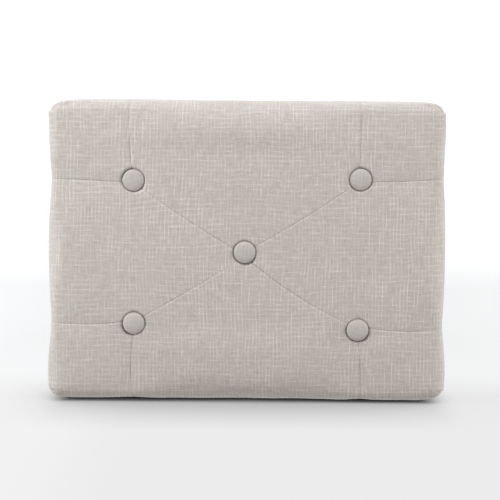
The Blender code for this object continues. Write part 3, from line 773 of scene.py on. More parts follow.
class Finishes:
    """All the stool's materials, made once."""

    def __init__(self) -> None:
        """Makes the materials."""
        weave, wood = SlubWeave().group(), straight_grain()
        pine = {"colour": linear(214, 184, 140), "wood": wood, "dark": linear(176, 138, 92)}
        self.linen = ClothFinish("seat_linen", linear(188, 179, 172), weave).make()
        self.button_linen = ClothFinish("button_linen", linear(181, 174, 167), weave, pitch=0.0008, slub=0.5).make()
        self.dust_cloth = ClothFinish(
            "dust_cambric", linear(38, 38, 40), weave, pitch=0.0007, slub=1.4, sheen=0.1
        ).make()
        self.foam = PadFinish("seat_foam", linear(232, 214, 168)).make()
        self.wadding = PadFinish("side_batting", linear(236, 234, 228), cell=0.0006, stretch=6.0).make()
        self.leg = WoodFinish(
            "walnut_stain", linear(96, 62, 40), wood, linear(52, 31, 20), gloss=0.42, coat=0.25
        ).make()
        self.rail_x = WoodFinish("rail_pine_long", **pine, grain=Grain.ALONG_X, gloss=0.66).make()
        self.rail_y = WoodFinish("rail_pine_short", **pine, grain=Grain.ALONG_Y, gloss=0.66).make()
        self.block = WoodFinish("block_pine", **pine, gloss=0.68).make()
        self.plywood = PlyFinish("deck_plywood", linear(218, 190, 150), wood, linear(170, 132, 92)).make()
        self.zinc = MetalFinish("zinc_plate", linear(196, 199, 203)).make()
        self.twine = TwineFinish("waxed_twine", linear(214, 200, 172)).make()
        self.plastic = PlasticFinish("black_plastic", linear(30, 30, 32)).make()

    def for_node(self, name: str) -> Material | None:
        """The finish of a kept solid.

        Args:
            name: the solid's name.

        Returns:
            Its material, or None for the soft solids that are replaced.
        """
        for start, stuff in (
            ("leg_", self.leg), ("long_rail_", self.rail_x), ("short_rail_", self.rail_y),
            ("corner_block_", self.block), ("deck_board", self.plywood), ("hanger_bolt_", self.zinc),
            ("tee_nut_", self.zinc), ("rail_screw_", self.zinc), ("button_back_", self.zinc),
            ("tuft_twine_", self.twine), ("twine_anchor_", self.plastic), ("foot_glide_", self.plastic),
        ):
            if name.startswith(start):
                return stuff
        return None


@dataclass(frozen=True)
class Fold:
    """A fine pleat in the seat's cloth, from one tuft to the middle one or out over the nearest edge.

    bow moves its middle sideways, strength scales its depth, draw says how far it draws the edge in, and lap says
    which side of it lies on top. A fold that runs over an edge has over set. One with wane 1 fades towards its end,
    one with wane -1 towards its start.
    """

    start: Vector
    end: Vector
    bow: Vector
    strength: float
    draw: float
    lap: float
    over: bool
    wane: float = 0.0

    @property
    def length(self) -> float:
        """The straight length from tuft to end."""
        return (self.end - self.start).length

    @property
    def along(self) -> Vector:
        """The direction away from the corner tuft."""
        return (self.end - self.start).normalized()

    @property
    def aside(self) -> Vector:
        """The level direction across the fold."""
        return Vector((-self.along.y, self.along.x))

    def measure(self, places: Array) -> tuple[Array, Array]:
        """Measures how far along the fold places lie, and how far to its side."""
        gap = places[:, :2] - np.array(self.start)
        return gap @ np.array(self.along), gap @ np.array(self.aside)

    def presence(self, share: Array) -> Array:
        """How strongly the fold shows, easing off to both ends or broken and fading to one end.

        Args:
            share: shares of the fold's length.

        Returns:
            1 where it shows fully.
        """
        if self.over:
            eased_in = 0.65 + 0.35 * smooth(share, 0.10, 0.34)
            eased_off = 1.0 - 0.45 * smooth(share, 0.68, 0.96)
            return eased_in * eased_off
        faded = smooth(share if self.wane > 0.0 else 1.0 - share, 0.35, 0.90)
        broken = 0.5 + 0.5 * np.sin(26.0 * share + 9.0 * self.start.x + 4.0 * np.sin(11.0 * share))
        return (1.0 - 0.35 * faded) * (1.0 - 0.35 * broken)

    def nearness(self, places: Array, reach: float) -> Array:
        """Says how near places lie to the fold.

        Args:
            places: rows that begin with x and y.
            reach: the distance to its side and past its ends at which it is no longer near.

        Returns:
            1 on the fold, easing to 0 at the reach.
        """
        run, side = self.measure(places)
        past = np.maximum(0.0, np.maximum(-run, 0.0 if self.over else run - self.length))
        return 1.0 - smooth(np.hypot(side, past), 0.0, reach)


@dataclass
class SeatForm:
    """The stuffed seat: its outline and levels from the solids, its tufts and its folds."""

    corner_radius: float = 0.0135
    roll_radius: float = 0.0115
    crown_rise: float = 0.0046
    side_power: float = 4.2
    front_power: float = 2.2
    rear_power: float = 5.5
    front_droop: float = 0.0034
    droop_start: float = 0.070
    droop_power: float = 1.35
    edge_drop: float = 0.0050
    lip_drop: float = 0.0004
    lip_radius: float = 0.0150
    lip_reach: float = 0.0120
    well_radii: tuple[float, ...] = (0.0, 0.0112, 0.0119, 0.0124, 0.0130, 0.0138)
    well_depths: tuple[float, ...] = (0.0140, 0.0066, 0.0050, 0.0036, 0.0024, 0.0013)
    fold_dip: float = 0.0008
    hub_dip: float = 0.0002
    fold_reach: float = 0.024

    def __post_init__(self) -> None:
        """Reads the outline, the levels and the tufts from the solids, and sets out the folds."""
        low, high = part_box("seat_cover")
        self.half_x, self.half_y = high[0], high[1]
        self.half = np.array((self.half_x, self.half_y))
        self.edge_top = high[2] - self.edge_drop
        self.hem_level = low[2]
        self.tufts = {place: centre_of(f"button_cap_{place.word}").to_2d() for place in Place}
        self.folds = list(self.draw_folds())

    def draw_folds(self) -> Iterator[Fold]:
        """Sets out the eight folds over the edges and the four folds to the middle tuft.

        Each row gives how far the fold starts from its tuft's middle, where it ends, its bow and its strength. The
        end is a place along the edge, or a distance from the middle tuft. Edge folds then give their draw, the
        others their wane.

        Yields:
            Each corner tuft's fold over its long edge, the one over its short edge and the one to the middle tuft.
        """
        hub = self.tufts[Place.CENTRE]
        over_long = {
            Place.REAR_LEFT: ((0.0005, 0.0), -0.1301, (-0.0020, 0.0), 0.75, 0.0),
            Place.REAR_RIGHT: ((-0.0012, 0.0), 0.1257, (0.0010, 0.0), 0.78, 0.0),
            Place.FRONT_LEFT: ((0.0011, 0.0), -0.1259, (-0.0038, 0.0), 0.62, 0.0),
            Place.FRONT_RIGHT: ((0.0, 0.0), 0.1275, (0.0008, 0.0), 0.72, 0.0),
        }
        over_short = {
            Place.REAR_LEFT: ((0.0, -0.0034), 0.0790, (0.0, 0.0008), 0.90, 0.70),
            Place.REAR_RIGHT: ((0.0, -0.0029), 0.0805, (0.0, -0.0009), 0.95, 0.0),
            Place.FRONT_LEFT: ((0.0, 0.0031), -0.0800, (0.0, -0.0039), 0.85, 0.35),
            Place.FRONT_RIGHT: ((0.0, 0.0042), -0.0858, (0.0, -0.0047), 0.60, 0.05),
        }
        to_hub = {
            Place.REAR_LEFT: ((-0.0013, -0.0021), (-0.0014, -0.0023), (0.0, -0.0026), 0.92, -1.0),
            Place.REAR_RIGHT: ((0.0008, -0.0013), (0.0, 0.0), (0.0, -0.0026), 0.70, 1.0),
            Place.FRONT_LEFT: ((-0.0006, 0.0010), (0.0024, -0.0038), (0.0, -0.0014), 0.55, 1.0),
            Place.FRONT_RIGHT: ((0.0009, 0.0013), (-0.0022, -0.0033), (-0.0015, -0.0062), 0.92, -1.0),
        }
        for place in over_long:
            tuft, (side_x, side_y) = self.tufts[place], place.sides
            shift, edge_x, bow, strength, draw = over_long[place]
            end = Vector((edge_x, side_y * self.half_y))
            yield Fold(tuft + Vector(shift), end, Vector(bow), strength, draw, -1.0, True)
            shift, edge_y, bow, strength, draw = over_short[place]
            end = Vector((side_x * self.half_x, edge_y))
            yield Fold(tuft + Vector(shift), end, Vector(bow), strength, draw, -side_x, True)
            shift, off_hub, bow, strength, wane = to_hub[place]
            end = hub + Vector(off_hub)
            yield Fold(tuft + Vector(shift), end, Vector(bow), strength, 0.0, side_x, False, wane)

    def edge_frame(self, places: Array) -> tuple[Array, Array, Array]:
        """Finds where places lie round the seat's edge.

        Args:
            places: rows that begin with x and y.

        Returns:
            The nearest points of the inner rectangle, the directions outward from it and the distances.
        """
        inner = self.half - self.corner_radius
        spine = np.clip(places[:, :2], -inner, inner)
        out = places[:, :2] - spine
        reach = np.linalg.norm(out, axis=1)
        return spine, out / np.maximum(reach, TINY)[:, None], reach

    def tuft_drop(self, distance: Array) -> Array:
        """How far the cloth lies below the crown near a tuft.

        Args:
            distance: distances from the tuft's middle.

        Returns:
            The drop at each distance: down the well, and easing out from its lip.
        """
        away = self.lip_drop * np.exp(-np.maximum(0.0, distance - self.lip_radius) / self.lip_reach)
        radii, depths = (*self.well_radii, self.lip_radius), (*self.well_depths, self.lip_drop)
        return np.where(distance < self.lip_radius, np.interp(distance, radii, depths), away)

    def height(self, places: Array, wells: bool = True) -> Array:
        """The seat face's level.

        Args:
            places: rows that begin with x and y.
            wells: whether the button wells are sunk, or left level with their lips.

        Returns:
            The level at each place.
        """
        flat_x, flat_y = self.half_x - self.roll_radius, self.half_y - self.roll_radius
        lean_x = 1.0 - np.minimum(1.0, np.abs(places[:, 0]) / flat_x) ** self.side_power
        power = np.where(places[:, 1] > 0.0, self.rear_power, self.front_power)
        lean_y = 1.0 - np.minimum(1.0, np.abs(places[:, 1]) / flat_y) ** power
        level = self.edge_top + self.crown_rise * lean_x * lean_y
        ahead = np.clip((-places[:, 1] - self.droop_start) / (flat_y - self.droop_start), 0.0, 1.0)
        level -= self.front_droop * ahead ** self.droop_power
        dips = [
            (self.fold_dip if fold.over else self.hub_dip) * fold.strength * fold.nearness(places, self.fold_reach)
            for fold in self.folds
        ]
        for tuft in self.tufts.values():
            distance = gap_to(places, tuft)
            dips.append(self.tuft_drop(distance if wells else np.maximum(distance, self.lip_radius)))
        return level - np.linalg.norm(np.array(dips), axis=0, ord=4)


@dataclass(frozen=True)
class Filling:
    """How the padding's pressure fills the sheet, and how firmly the sheet is held meanwhile.

    The hem and the tufts are held fully, the folds and the middle of the face by the grips given here.
    """

    frames: int = 20
    quality: int = 6
    mass: float = 0.2
    stretch: float = 12.0
    shear: float = 6.0
    bending: float = 1.5
    pressure: float = 4.0
    furthest: float = 0.004
    hem_height: float = 0.012
    face_depth: float = 0.030
    fold_reach: float = 0.009
    edge_grip: float = 0.50
    drawn_grip: float = 0.25
    hub_grip: float = 0.25
    face_grip: float = 0.9
    front_margin: float = 0.030
    loose_border: float = 0.035
    firm_inside: float = 0.080
    tuft_radius: float = 0.025
    least: float = 0.01

    def hold(self, form: SeatForm, rest: Array) -> Array:
        """Says how firmly each point of the sheet is held.

        Args:
            form: the seat's form.
            rest: the sheet's points before it is filled.

        Returns:
            1 for the points that can't move, 0 for the free ones.
        """
        hold = np.where(rest[:, 2] < form.hem_level + self.hem_height, 1.0, 0.0)
        on_face = rest[:, 2] > form.edge_top - self.face_depth
        for fold in form.folds:
            grip = self.edge_grip + self.drawn_grip * fold.draw if fold.over else self.hub_grip
            hold = np.maximum(hold, np.where(on_face, grip * fold.nearness(rest, self.fold_reach), 0.0))
        x, y = rest[:, 0], rest[:, 1]
        inside = np.min((form.half_x - np.abs(x), form.half_y - y, form.half_y + y - self.front_margin), axis=0)
        middle = self.face_grip * smooth(inside, self.loose_border, self.firm_inside)
        hold = np.maximum(hold, np.where(on_face, middle, 0.0))
        for tuft in form.tufts.values():
            hold[on_face & (gap_to(rest, tuft) < self.tuft_radius)] = 1.0
        return hold

    def swell(self, form: SeatForm, sheet: Object) -> None:
        """Fills the sheet by a short cloth simulation, and keeps any point from going too far.

        Args:
            form: the seat's form.
            sheet: the laid sheet.
        """
        rest = read_points(sheet)
        hold = self.hold(form, rest)
        held = sheet.vertex_groups.new(name="held")
        for index in np.nonzero(hold > self.least)[0]:
            held.add([int(index)], float(hold[index]), "REPLACE")
        select_only(sheet)
        cloth = sheet.modifiers.new("swell", "CLOTH")
        rules = cloth.settings
        rules.quality, rules.mass = self.quality, self.mass
        rules.tension_stiffness = rules.compression_stiffness = self.stretch
        rules.shear_stiffness, rules.bending_stiffness = self.shear, self.bending
        rules.use_pressure, rules.uniform_pressure_force = True, self.pressure
        rules.vertex_group_mass = "held"
        rules.effector_weights.gravity = 0.0
        cloth.collision_settings.use_collision = False
        cloth.point_cache.frame_start, cloth.point_cache.frame_end = 1, self.frames
        for step in range(1, self.frames + 1):
            bpy.context.scene.frame_set(step)
        apply_modifier(sheet, cloth)
        bpy.context.scene.frame_set(1)
        moved = read_points(sheet) - rest
        far = np.linalg.norm(moved, axis=1)
        log.info("seat sheet swelled by up to %.1f mm, %.1f mm on average", far.max() * 1000, far.mean() * 1000)
        write_points(sheet, rest + moved * np.minimum(1.0, self.furthest / np.maximum(far, TINY))[:, None])
        sheet.vertex_groups.clear()


@dataclass(frozen=True)
class FoldPress:
    """How the folds are pressed into knife pleats.

    Each has a narrow groove in a soft dip. The layer on top stands up and slides over it, the other sinks a little.
    """

    well_gap: float = 0.0115
    reach: float = 0.03
    fade_start: float = 0.004
    fade_end: float = 0.055
    groove_depth: float = 0.0010
    groove_width: float = 0.0007
    dip_depth: float = 0.0005
    dip_width: float = 0.005
    top_stand: float = 0.00035
    under_sink: float = 0.00010
    stand_width: float = 0.0035
    slide: float = 0.00045
    slide_width: float = 0.0015
    bow_width: float = 0.016
    bow_depth: float = 0.03
    hub_share: float = 0.4

    def press(self, fold: Fold, points: Array, normals: Array, depth: Array, moved: Array) -> None:
        """Presses one fold and bows it.

        Args:
            fold: the fold.
            points: the sheet's points before any fold was pressed.
            normals: their normals.
            depth: how far they lie below the edge.
            moved: the points as pressed so far, changed in place.
        """
        run, side = fold.measure(points)
        off = np.abs(side)
        far = run > self.well_gap
        if not fold.over:
            far &= run < fold.length - self.well_gap
        live = np.where(far & (off < self.reach), 1.0 - smooth(depth, self.fade_start, self.fade_end), 0.0)
        share = np.clip(run / fold.length, 0.0, 1.0)
        live *= fold.presence(share)
        press = 1.0 if fold.over else self.hub_share
        groove = bell(side, self.groove_width) * self.groove_depth * fold.strength
        dip = self.dip_depth * bell(side, self.dip_width) * fold.strength * press
        upper = side * fold.lap > 0.0
        stand = press * np.where(upper, self.top_stand, -self.under_sink) * np.exp(-off / self.stand_width)
        stand *= off > ON_LINE
        moved += normals * (live * (stand - groove - dip))[:, None]
        slide = press * np.where(upper, -fold.lap * self.slide, 0.0) * np.exp(-off / self.slide_width)
        slide *= off > ON_LINE
        moved[:, :2] += np.array(fold.aside) * (live * slide)[:, None]
        shallow = np.where(depth < self.bow_depth, 1.0, 0.0)
        bowed = 4.0 * share * (1.0 - share) * bell(side, self.bow_width) * shallow
        moved[:, :2] += np.array(fold.bow) * bowed[:, None]


@dataclass(frozen=True)
class CornerPleat:
    """How the cloth is pleated at the corners, on the short sides, and laps under the edge at the rear."""

    inset: float = 0.0115
    reach: float = 0.03
    face_gap: float = 0.018
    side_gap: float = 0.011
    rear_swell: float = 0.0007
    front_swell: float = 0.0026
    swell_band: float = 0.02
    front_share: float = 0.45
    stand: float = 0.0018
    stand_width: float = 0.008
    sink: float = 0.0012
    sink_width: float = 0.006
    overlap: float = 0.0008
    overlap_width: float = 0.0016
    lower_loss: float = 0.65
    lap_length: float = 0.030
    lap_level: float = 0.0066
    lap_width: float = 0.0013
    lap_depth: float = 0.0024
    lap_step: float = 0.0040

    def line(self, form: SeatForm) -> float:
        """How far along Y the pleats lie."""
        return form.half_y - self.inset

    def stand_out(self, form: SeatForm, sides: tuple[int, int], points: Array, moved: Array) -> None:
        """Stands one corner's pleat out and fills the cloth beside it.

        Args:
            form: the seat's form.
            sides: the corner's side along X and Y.
            points: the sheet's points before the folds were pressed.
            moved: the points as pressed so far, changed in place.
        """
        side_x, side_y = sides
        outward, depth = side_x * points[:, 0], form.edge_top - points[:, 2]
        beyond = side_y * points[:, 1] - self.line(form)
        on_side = (outward > form.half_x - self.reach) & (np.abs(beyond) < self.reach)
        ear, swell = (1.0, self.rear_swell) if side_y > 0 else (self.front_share, self.front_swell)
        live = np.where(on_side, smooth(depth, 0.001, 0.009), 0.0)
        live *= 1.0 - self.lower_loss * smooth(depth, 0.02, 0.085)
        live *= smooth(outward, form.half_x - self.face_gap, form.half_x - self.side_gap)
        out = np.where(
            beyond > 0.0, -self.sink * np.exp(-beyond / self.sink_width), self.stand * np.exp(beyond / self.stand_width)
        )
        near_end = swell * smooth(side_y * points[:, 1], 0.085, 0.135)
        full = np.where(outward > form.half_x - self.swell_band, near_end, 0.0)
        moved[:, 0] += side_x * full * smooth(depth, 0.002, 0.012)
        lapped = np.where(
            beyond > ON_LINE, 0.0, self.overlap * np.exp(np.minimum(0.0, beyond) / self.overlap_width)
        )
        moved[:, 0] += side_x * ear * live * out
        moved[:, 1] += side_y * live * lapped

    def lap_rear(self, form: SeatForm, points: Array, normals: Array, moved: Array) -> None:
        """Presses a groove under the edge round both rear corners, where the pleat's upper layer laps the lower one.

        Args:
            form: the seat's form.
            points: the sheet's points before the folds were pressed.
            normals: their normals.
            moved: the points as pressed so far, changed in place.
        """
        below, line = form.edge_top - points[:, 2] - self.lap_level, self.line(form)
        for side_x in (-1.0, 1.0):
            inward = form.half_x - side_x * points[:, 0]
            live = 1.0 - smooth(inward, self.lap_length - 0.012, self.lap_length)
            live *= smooth(points[:, 1], line - 0.0005, line + 0.0015)
            groove = self.lap_depth * bell(below, self.lap_width)
            stand = 0.5 * self.lap_depth * bell(below - self.lap_step, self.lap_width)
            moved += normals * (live * (stand - groove))[:, None]


@dataclass(frozen=True)
class LongEdge:
    """How full the long edges are, and how far what passes that fullness may give."""

    front_swell: float = 0.0018
    front_give: float = 0.15
    rear_swell: float = 0.0012
    rear_give: float = 0.4
    rear_left_swell: float = 0.0012
    front_right_swell: float = 0.0013

    def fill(self, form: SeatForm, points: Array, moved: Array) -> None:
        """Fills both long edges out.

        Args:
            form: the seat's form.
            points: the sheet's points before the folds were pressed.
            moved: the points as pressed so far, changed in place.
        """
        above_hem = smooth(points[:, 2], form.hem_level + 0.004, form.hem_level + 0.030)
        forward, backward = (smooth(side * points[:, 1], 0.100, 0.160) * above_hem for side in (-1, 1))
        moved[:, 1] -= self.front_swell * forward
        past = np.maximum(0.0, -moved[:, 1] - form.half_y - self.front_swell)
        moved[:, 1] += (1.0 - self.front_give) * past
        past = np.maximum(0.0, moved[:, 1] - form.half_y - self.rear_swell)
        moved[:, 1] -= (1.0 - self.rear_give) * past
        moved[:, 1] += self.rear_left_swell * backward * self.fuller(-points[:, 0])
        moved[:, 1] -= self.front_right_swell * forward * self.fuller(points[:, 0])

    def fuller(self, outward: Array) -> Array:
        """The share of a long edge's extra fullness, from its middle out to the corner."""
        return smooth(outward, 0.05, 0.12) * (1.0 - smooth(outward, 0.188, 0.214))


@dataclass
class SeatCover:
    """The linen cover: one sheet swelled over the padding, tufted, folded and turned under the rails."""

    form: SeatForm
    filling: Filling = Filling()
    folding: FoldPress = FoldPress()
    corner: CornerPleat = CornerPleat()
    long_edge: LongEdge = LongEdge()
    columns: int = 76
    lines: int = 58
    border_lines: int = 5
    border_width: float = 0.0045
    roll_steps: int = 8
    side_rows: int = 12
    lower_steps: int = 3
    hem_rows: int = 2
    lower_radius: float = 0.004
    hem_width: float = 0.018
    swell_room: float = 0.0016
    face_room: float = 0.3
    edge_draw: float = 0.0022
    draw_reach: float = 0.026
    patch_radius: float = 0.0215
    opening_radius: float = 0.0203
    eased_radius: float = 0.034
    well_rings: tuple[float, ...] = (
        0.0185, 0.0170, 0.0159, 0.0150, 0.0144, 0.0138, 0.0134, 0.0130, 0.0127, 0.0124, 0.0119, 0.0112, 0.0085,
        0.0050, 0.0020,
    )
    fold_cuts: tuple[float, ...] = (0.0, -0.0005, 0.0005, -0.0011, 0.0011, -0.0021, 0.0021)
    pleat_cuts: tuple[float, ...] = (0.0, -0.0007, 0.0007, -0.0016, 0.0016)
    cut_gap: float = 0.0130
    cut_reach: float = 0.006
    tuck: float = 0.004
    tuck_width: float = 0.012
    cloth_thickness: float = 0.0011
    fill: float = 0.8

    def lay_sheet(self) -> Object:
        """Lays the flat sheet, rounds its corners and turns it down over the edge row by row.

        Returns:
            The sheet.
        """
        form = self.form
        sheet = add_piece("seat_upholstery", "grid", x_subdivisions=self.columns, y_subdivisions=self.lines, size=2)
        flat = read_points(sheet)[:, :2]
        for axis, count in enumerate((self.columns, self.lines)):
            lines = np.linspace(-1.0, 1.0, count + 1)
            flat[:, axis] = np.interp(flat[:, axis], lines, self.line_places(form.half[axis] - form.roll_radius, count))
        places = round_corners(flat, form.half, form.corner_radius)
        level = form.height(places, wells=False) - self.face_room * self.swell_room
        write_points(sheet, np.column_stack((places, level)))
        for reach, level, draw in self.edge_rows():
            self.turn_row(sheet, reach, level, draw)
        return sheet

    def line_places(self, half: float, count: int) -> Array:
        """Spaces the sheet's lines: fine along the border, so that the corners turn smoothly, and even inside.

        Args:
            half: half the width that the lines cover.
            count: how many spaces they make.

        Returns:
            The lines' places in order.
        """
        fine, border = self.border_lines, half - self.border_width
        return np.concatenate((
            np.linspace(-half, -border, fine + 1)[:-1],
            np.linspace(-border, border, count - 2 * fine + 1),
            np.linspace(border, half, fine + 1)[1:],
        ))

    def edge_rows(self) -> Iterator[tuple[float, float, float]]:
        """Lists the rows round the edge.

        Yields:
            Each row's distance from the inner rectangle, its level and its share of the folds' pull.
        """
        form = self.form
        full, roll = form.corner_radius, form.roll_radius
        for step in range(1, self.roll_steps + 1):
            turn = math.pi / 2 * step / self.roll_steps
            room = self.swell_room * math.sin(turn)
            yield full - roll + roll * math.sin(turn) - room, form.edge_top - roll * (1.0 - math.cos(turn)), 1.0
        top, low = form.edge_top - roll, form.hem_level + self.lower_radius
        for row in range(1, self.side_rows + 1):
            share = row / self.side_rows
            yield full - self.swell_room * (1.0 - share), top + (low - top) * share, (1.0 - share) ** 2
        for step in range(1, self.lower_steps + 1):
            turn = math.pi / 2 * step / self.lower_steps
            yield full - self.lower_radius * (1.0 - math.cos(turn)), low - self.lower_radius * math.sin(turn), 0.0
        for row in range(1, self.hem_rows + 1):
            inward = (self.hem_width - self.lower_radius) * row / self.hem_rows
            yield full - self.lower_radius - inward, form.hem_level, 0.0

    def turn_row(self, sheet: Object, reach: float, level: float, draw: float) -> None:
        """Extrudes the sheet's border by one row and puts the new row in place.

        Args:
            sheet: the sheet.
            reach: the row's distance from the inner rectangle.
            level: its level.
            draw: its share of the folds' pull.
        """
        form = self.form
        open_mesh(sheet, "EDGE")
        bpy.ops.mesh.select_non_manifold(
            extend=False, use_wire=False, use_boundary=True, use_multi_face=False, use_non_contiguous=False,
            use_verts=False,
        )
        bpy.ops.mesh.extrude_edges_move()
        mesh = bmesh.from_edit_mesh(sheet.data)
        row = [vert for vert in mesh.verts if vert.select]
        spine, out, _ = form.edge_frame(np.array([vert.co for vert in row]))
        border = spine + out * (form.corner_radius - form.roll_radius)
        dip = form.edge_top - form.height(border, wells=False)
        pulls = [fold.draw * fold.nearness(border, self.draw_reach) for fold in form.folds if fold.over]
        spots = spine + out * (reach - self.edge_draw * draw * np.max(pulls, axis=0))[:, None]
        for vert, spot, sunk in zip(row, spots, dip):
            vert.co = (spot[0], spot[1], level - draw * max(0.0, sunk))
        bmesh.update_edit_mesh(sheet.data)
        bpy.ops.object.mode_set(mode="OBJECT")

    def sink_tufts(self, sheet: Object) -> None:
        """Gives each tuft a round well.

        Args:
            sheet: the swelled sheet.
        """
        mesh = bmesh.new()
        mesh.from_mesh(sheet.data)
        for tuft in self.form.tufts.values():
            self.lead_down(mesh, tuft, self.open_patch(mesh, tuft))
        bmesh.ops.recalc_face_normals(mesh, faces=mesh.faces)
        mesh.to_mesh(sheet.data)
        mesh.free()

    def open_patch(self, mesh: BMesh, tuft: Vector) -> list[BMEdge]:
        """Opens the cloth round a tuft, draws the opening to a circle and eases the cloth beside it.

        Args:
            mesh: the sheet's mesh.
            tuft: the tuft's middle.

        Returns:
            The opening's edges.
        """
        top, patch = self.form.edge_top, self.patch_radius

        def gap(vert: BMVert) -> float:
            """How far a point lies from the tuft, seen from above."""
            return (vert.co.xy - tuft).length

        def bearing(vert: BMVert) -> float:
            """The direction in which a point lies from the tuft."""
            return math.atan2(vert.co.y - tuft.y, vert.co.x - tuft.x)

        opened = [
            face for face in mesh.faces
            if face.calc_center_median().z > top - 0.02 and all(gap(vert) < patch for vert in face.verts)
        ]
        bmesh.ops.delete(mesh, geom=opened, context="FACES")
        edges = [
            edge for edge in mesh.edges if edge.is_boundary and all(gap(vert) < 1.3 * patch for vert in edge.verts)
        ]
        ring = sorted({vert for edge in edges for vert in edge.verts}, key=bearing)
        first = bearing(ring[0])
        for index, vert in enumerate(ring):
            turn = first + 2 * math.pi * index / len(ring)
            vert.co.xy = tuft + self.opening_radius * Vector((math.cos(turn), math.sin(turn)))
        beside = [
            vert for vert in mesh.verts if patch * 0.99 < gap(vert) < self.eased_radius and vert.co.z > top - 0.012
        ]
        for _ in range(3):
            bmesh.ops.smooth_vert(
                mesh, verts=beside, factor=0.5, use_axis_x=True, use_axis_y=True, use_axis_z=False
            )
        return edges

    def lead_down(self, mesh: BMesh, tuft: Vector, edges: list[BMEdge]) -> None:
        """Leads the cloth from an opening down into the well, ring by ring.

        Args:
            mesh: the sheet's mesh.
            tuft: the tuft's middle.
            edges: the opening's edges.
        """
        radius, drop = self.opening_radius, self.form.tuft_drop
        for inner in self.well_rings:
            made = bmesh.ops.extrude_edge_only(mesh, edges=edges)["geom"]
            edges = [part for part in made if isinstance(part, BMEdge) and part.is_boundary]
            step = float(drop(np.array([inner]))[0] - drop(np.array([radius]))[0])
            for vert in {vert for edge in edges for vert in edge.verts}:
                vert.co.xy = tuft + (vert.co.xy - tuft) * (inner / radius)
                vert.co.z -= step
            radius = inner
        bmesh.ops.edgeloop_fill(mesh, edges=edges)

    def cut_folds(self, sheet: Object) -> None:
        """Cuts fine lines into the sheet along each fold and each corner pleat.

        Args:
            sheet: the sheet with its wells.
        """
        form = self.form
        mesh = bmesh.new()
        mesh.from_mesh(sheet.data)
        for fold in form.folds:
            near = {face for face in mesh.faces if self.beside(fold, face.calc_center_median())}
            for offset in self.fold_cuts:
                near = self.cut(mesh, near, (fold.start + offset * fold.aside).to_3d(), fold.aside.to_3d())
        for side_x, side_y in ((-1, -1), (1, -1), (-1, 1), (1, 1)):
            line = self.corner.line(form) * side_y
            near = {
                face for face in mesh.faces
                if side_x * (spot := face.calc_center_median()).x > form.half_x - self.corner.reach
                and abs(spot.y - line) < self.cut_reach and spot.z < form.edge_top - 0.0002
            }
            for offset in self.pleat_cuts:
                near = self.cut(mesh, near, Vector((0.0, line + offset, 0.0)), Vector((0.0, 1.0, 0.0)))
        bmesh.ops.remove_doubles(mesh, verts=mesh.verts, dist=1e-6)
        mesh.to_mesh(sheet.data)
        mesh.free()

    def beside(self, fold: Fold, spot: Vector) -> bool:
        """Whether a spot of the cloth lies next to a fold, outside the button wells.

        Args:
            fold: the fold.
            spot: the spot.

        Returns:
            True if it does.
        """
        gap = spot.xy - fold.start
        run, side = gap.dot(fold.along), gap.dot(fold.aside)
        last = math.inf if fold.over else fold.length - self.cut_gap
        deep = self.form.edge_top - self.folding.fade_end - 0.004
        return abs(side) < self.cut_reach and self.cut_gap < run < last and spot.z > deep

    def cut(self, mesh: BMesh, faces: set[BMFace], point: Vector, normal: Vector) -> set[BMFace]:
        """Cuts some faces along an upright plane.

        Args:
            mesh: the mesh they belong to.
            faces: the faces to cut.
            point: a point of the plane.
            normal: its normal.

        Returns:
            The same faces with the ones that the cut made.
        """
        parts = {part for face in faces for part in (face, *face.edges, *face.verts)}
        made = bmesh.ops.bisect_plane(mesh, geom=list(parts), dist=ON_LINE, plane_co=point, plane_no=normal)
        return {part for part in made["geom"] if isinstance(part, BMFace) and part.is_valid}

    def press_folds(self, sheet: Object) -> None:
        """Presses the folds, stands the corner pleats out and fills the long edges.

        Args:
            sheet: the cut sheet.
        """
        form = self.form
        points, normals = read_points(sheet), read_normals(sheet)
        depth = np.maximum(0.0, form.edge_top - 0.003 - points[:, 2])
        moved = points.copy()
        for fold in form.folds:
            self.folding.press(fold, points, normals, depth, moved)
        for sides in ((-1, -1), (-1, 1), (1, -1), (1, 1)):
            self.corner.stand_out(form, sides, points, moved)
        self.corner.lap_rear(form, points, normals, moved)
        self.long_edge.fill(form, points, moved)
        write_points(sheet, moved)

    def ruffle(self, sheet: Object) -> None:
        """Adds the slight unevenness of hand-pulled cloth, except in the wells and along the hem.

        Args:
            sheet: the pressed sheet.
        """
        points, normals = read_points(sheet), read_normals(sheet)
        sway = np.array([
            noise.noise(Vector(spot) * 26.0) * 0.00045 + noise.noise(Vector(spot) * 70.0) * 0.00016 for spot in points
        ])
        sway *= smooth(points[:, 2], self.form.hem_level + 0.004, self.form.hem_level + 0.02)
        for tuft in self.form.tufts.values():
            sway *= smooth(gap_to(points, tuft), 0.013, 0.024)
        write_points(sheet, points + normals * sway[:, None])

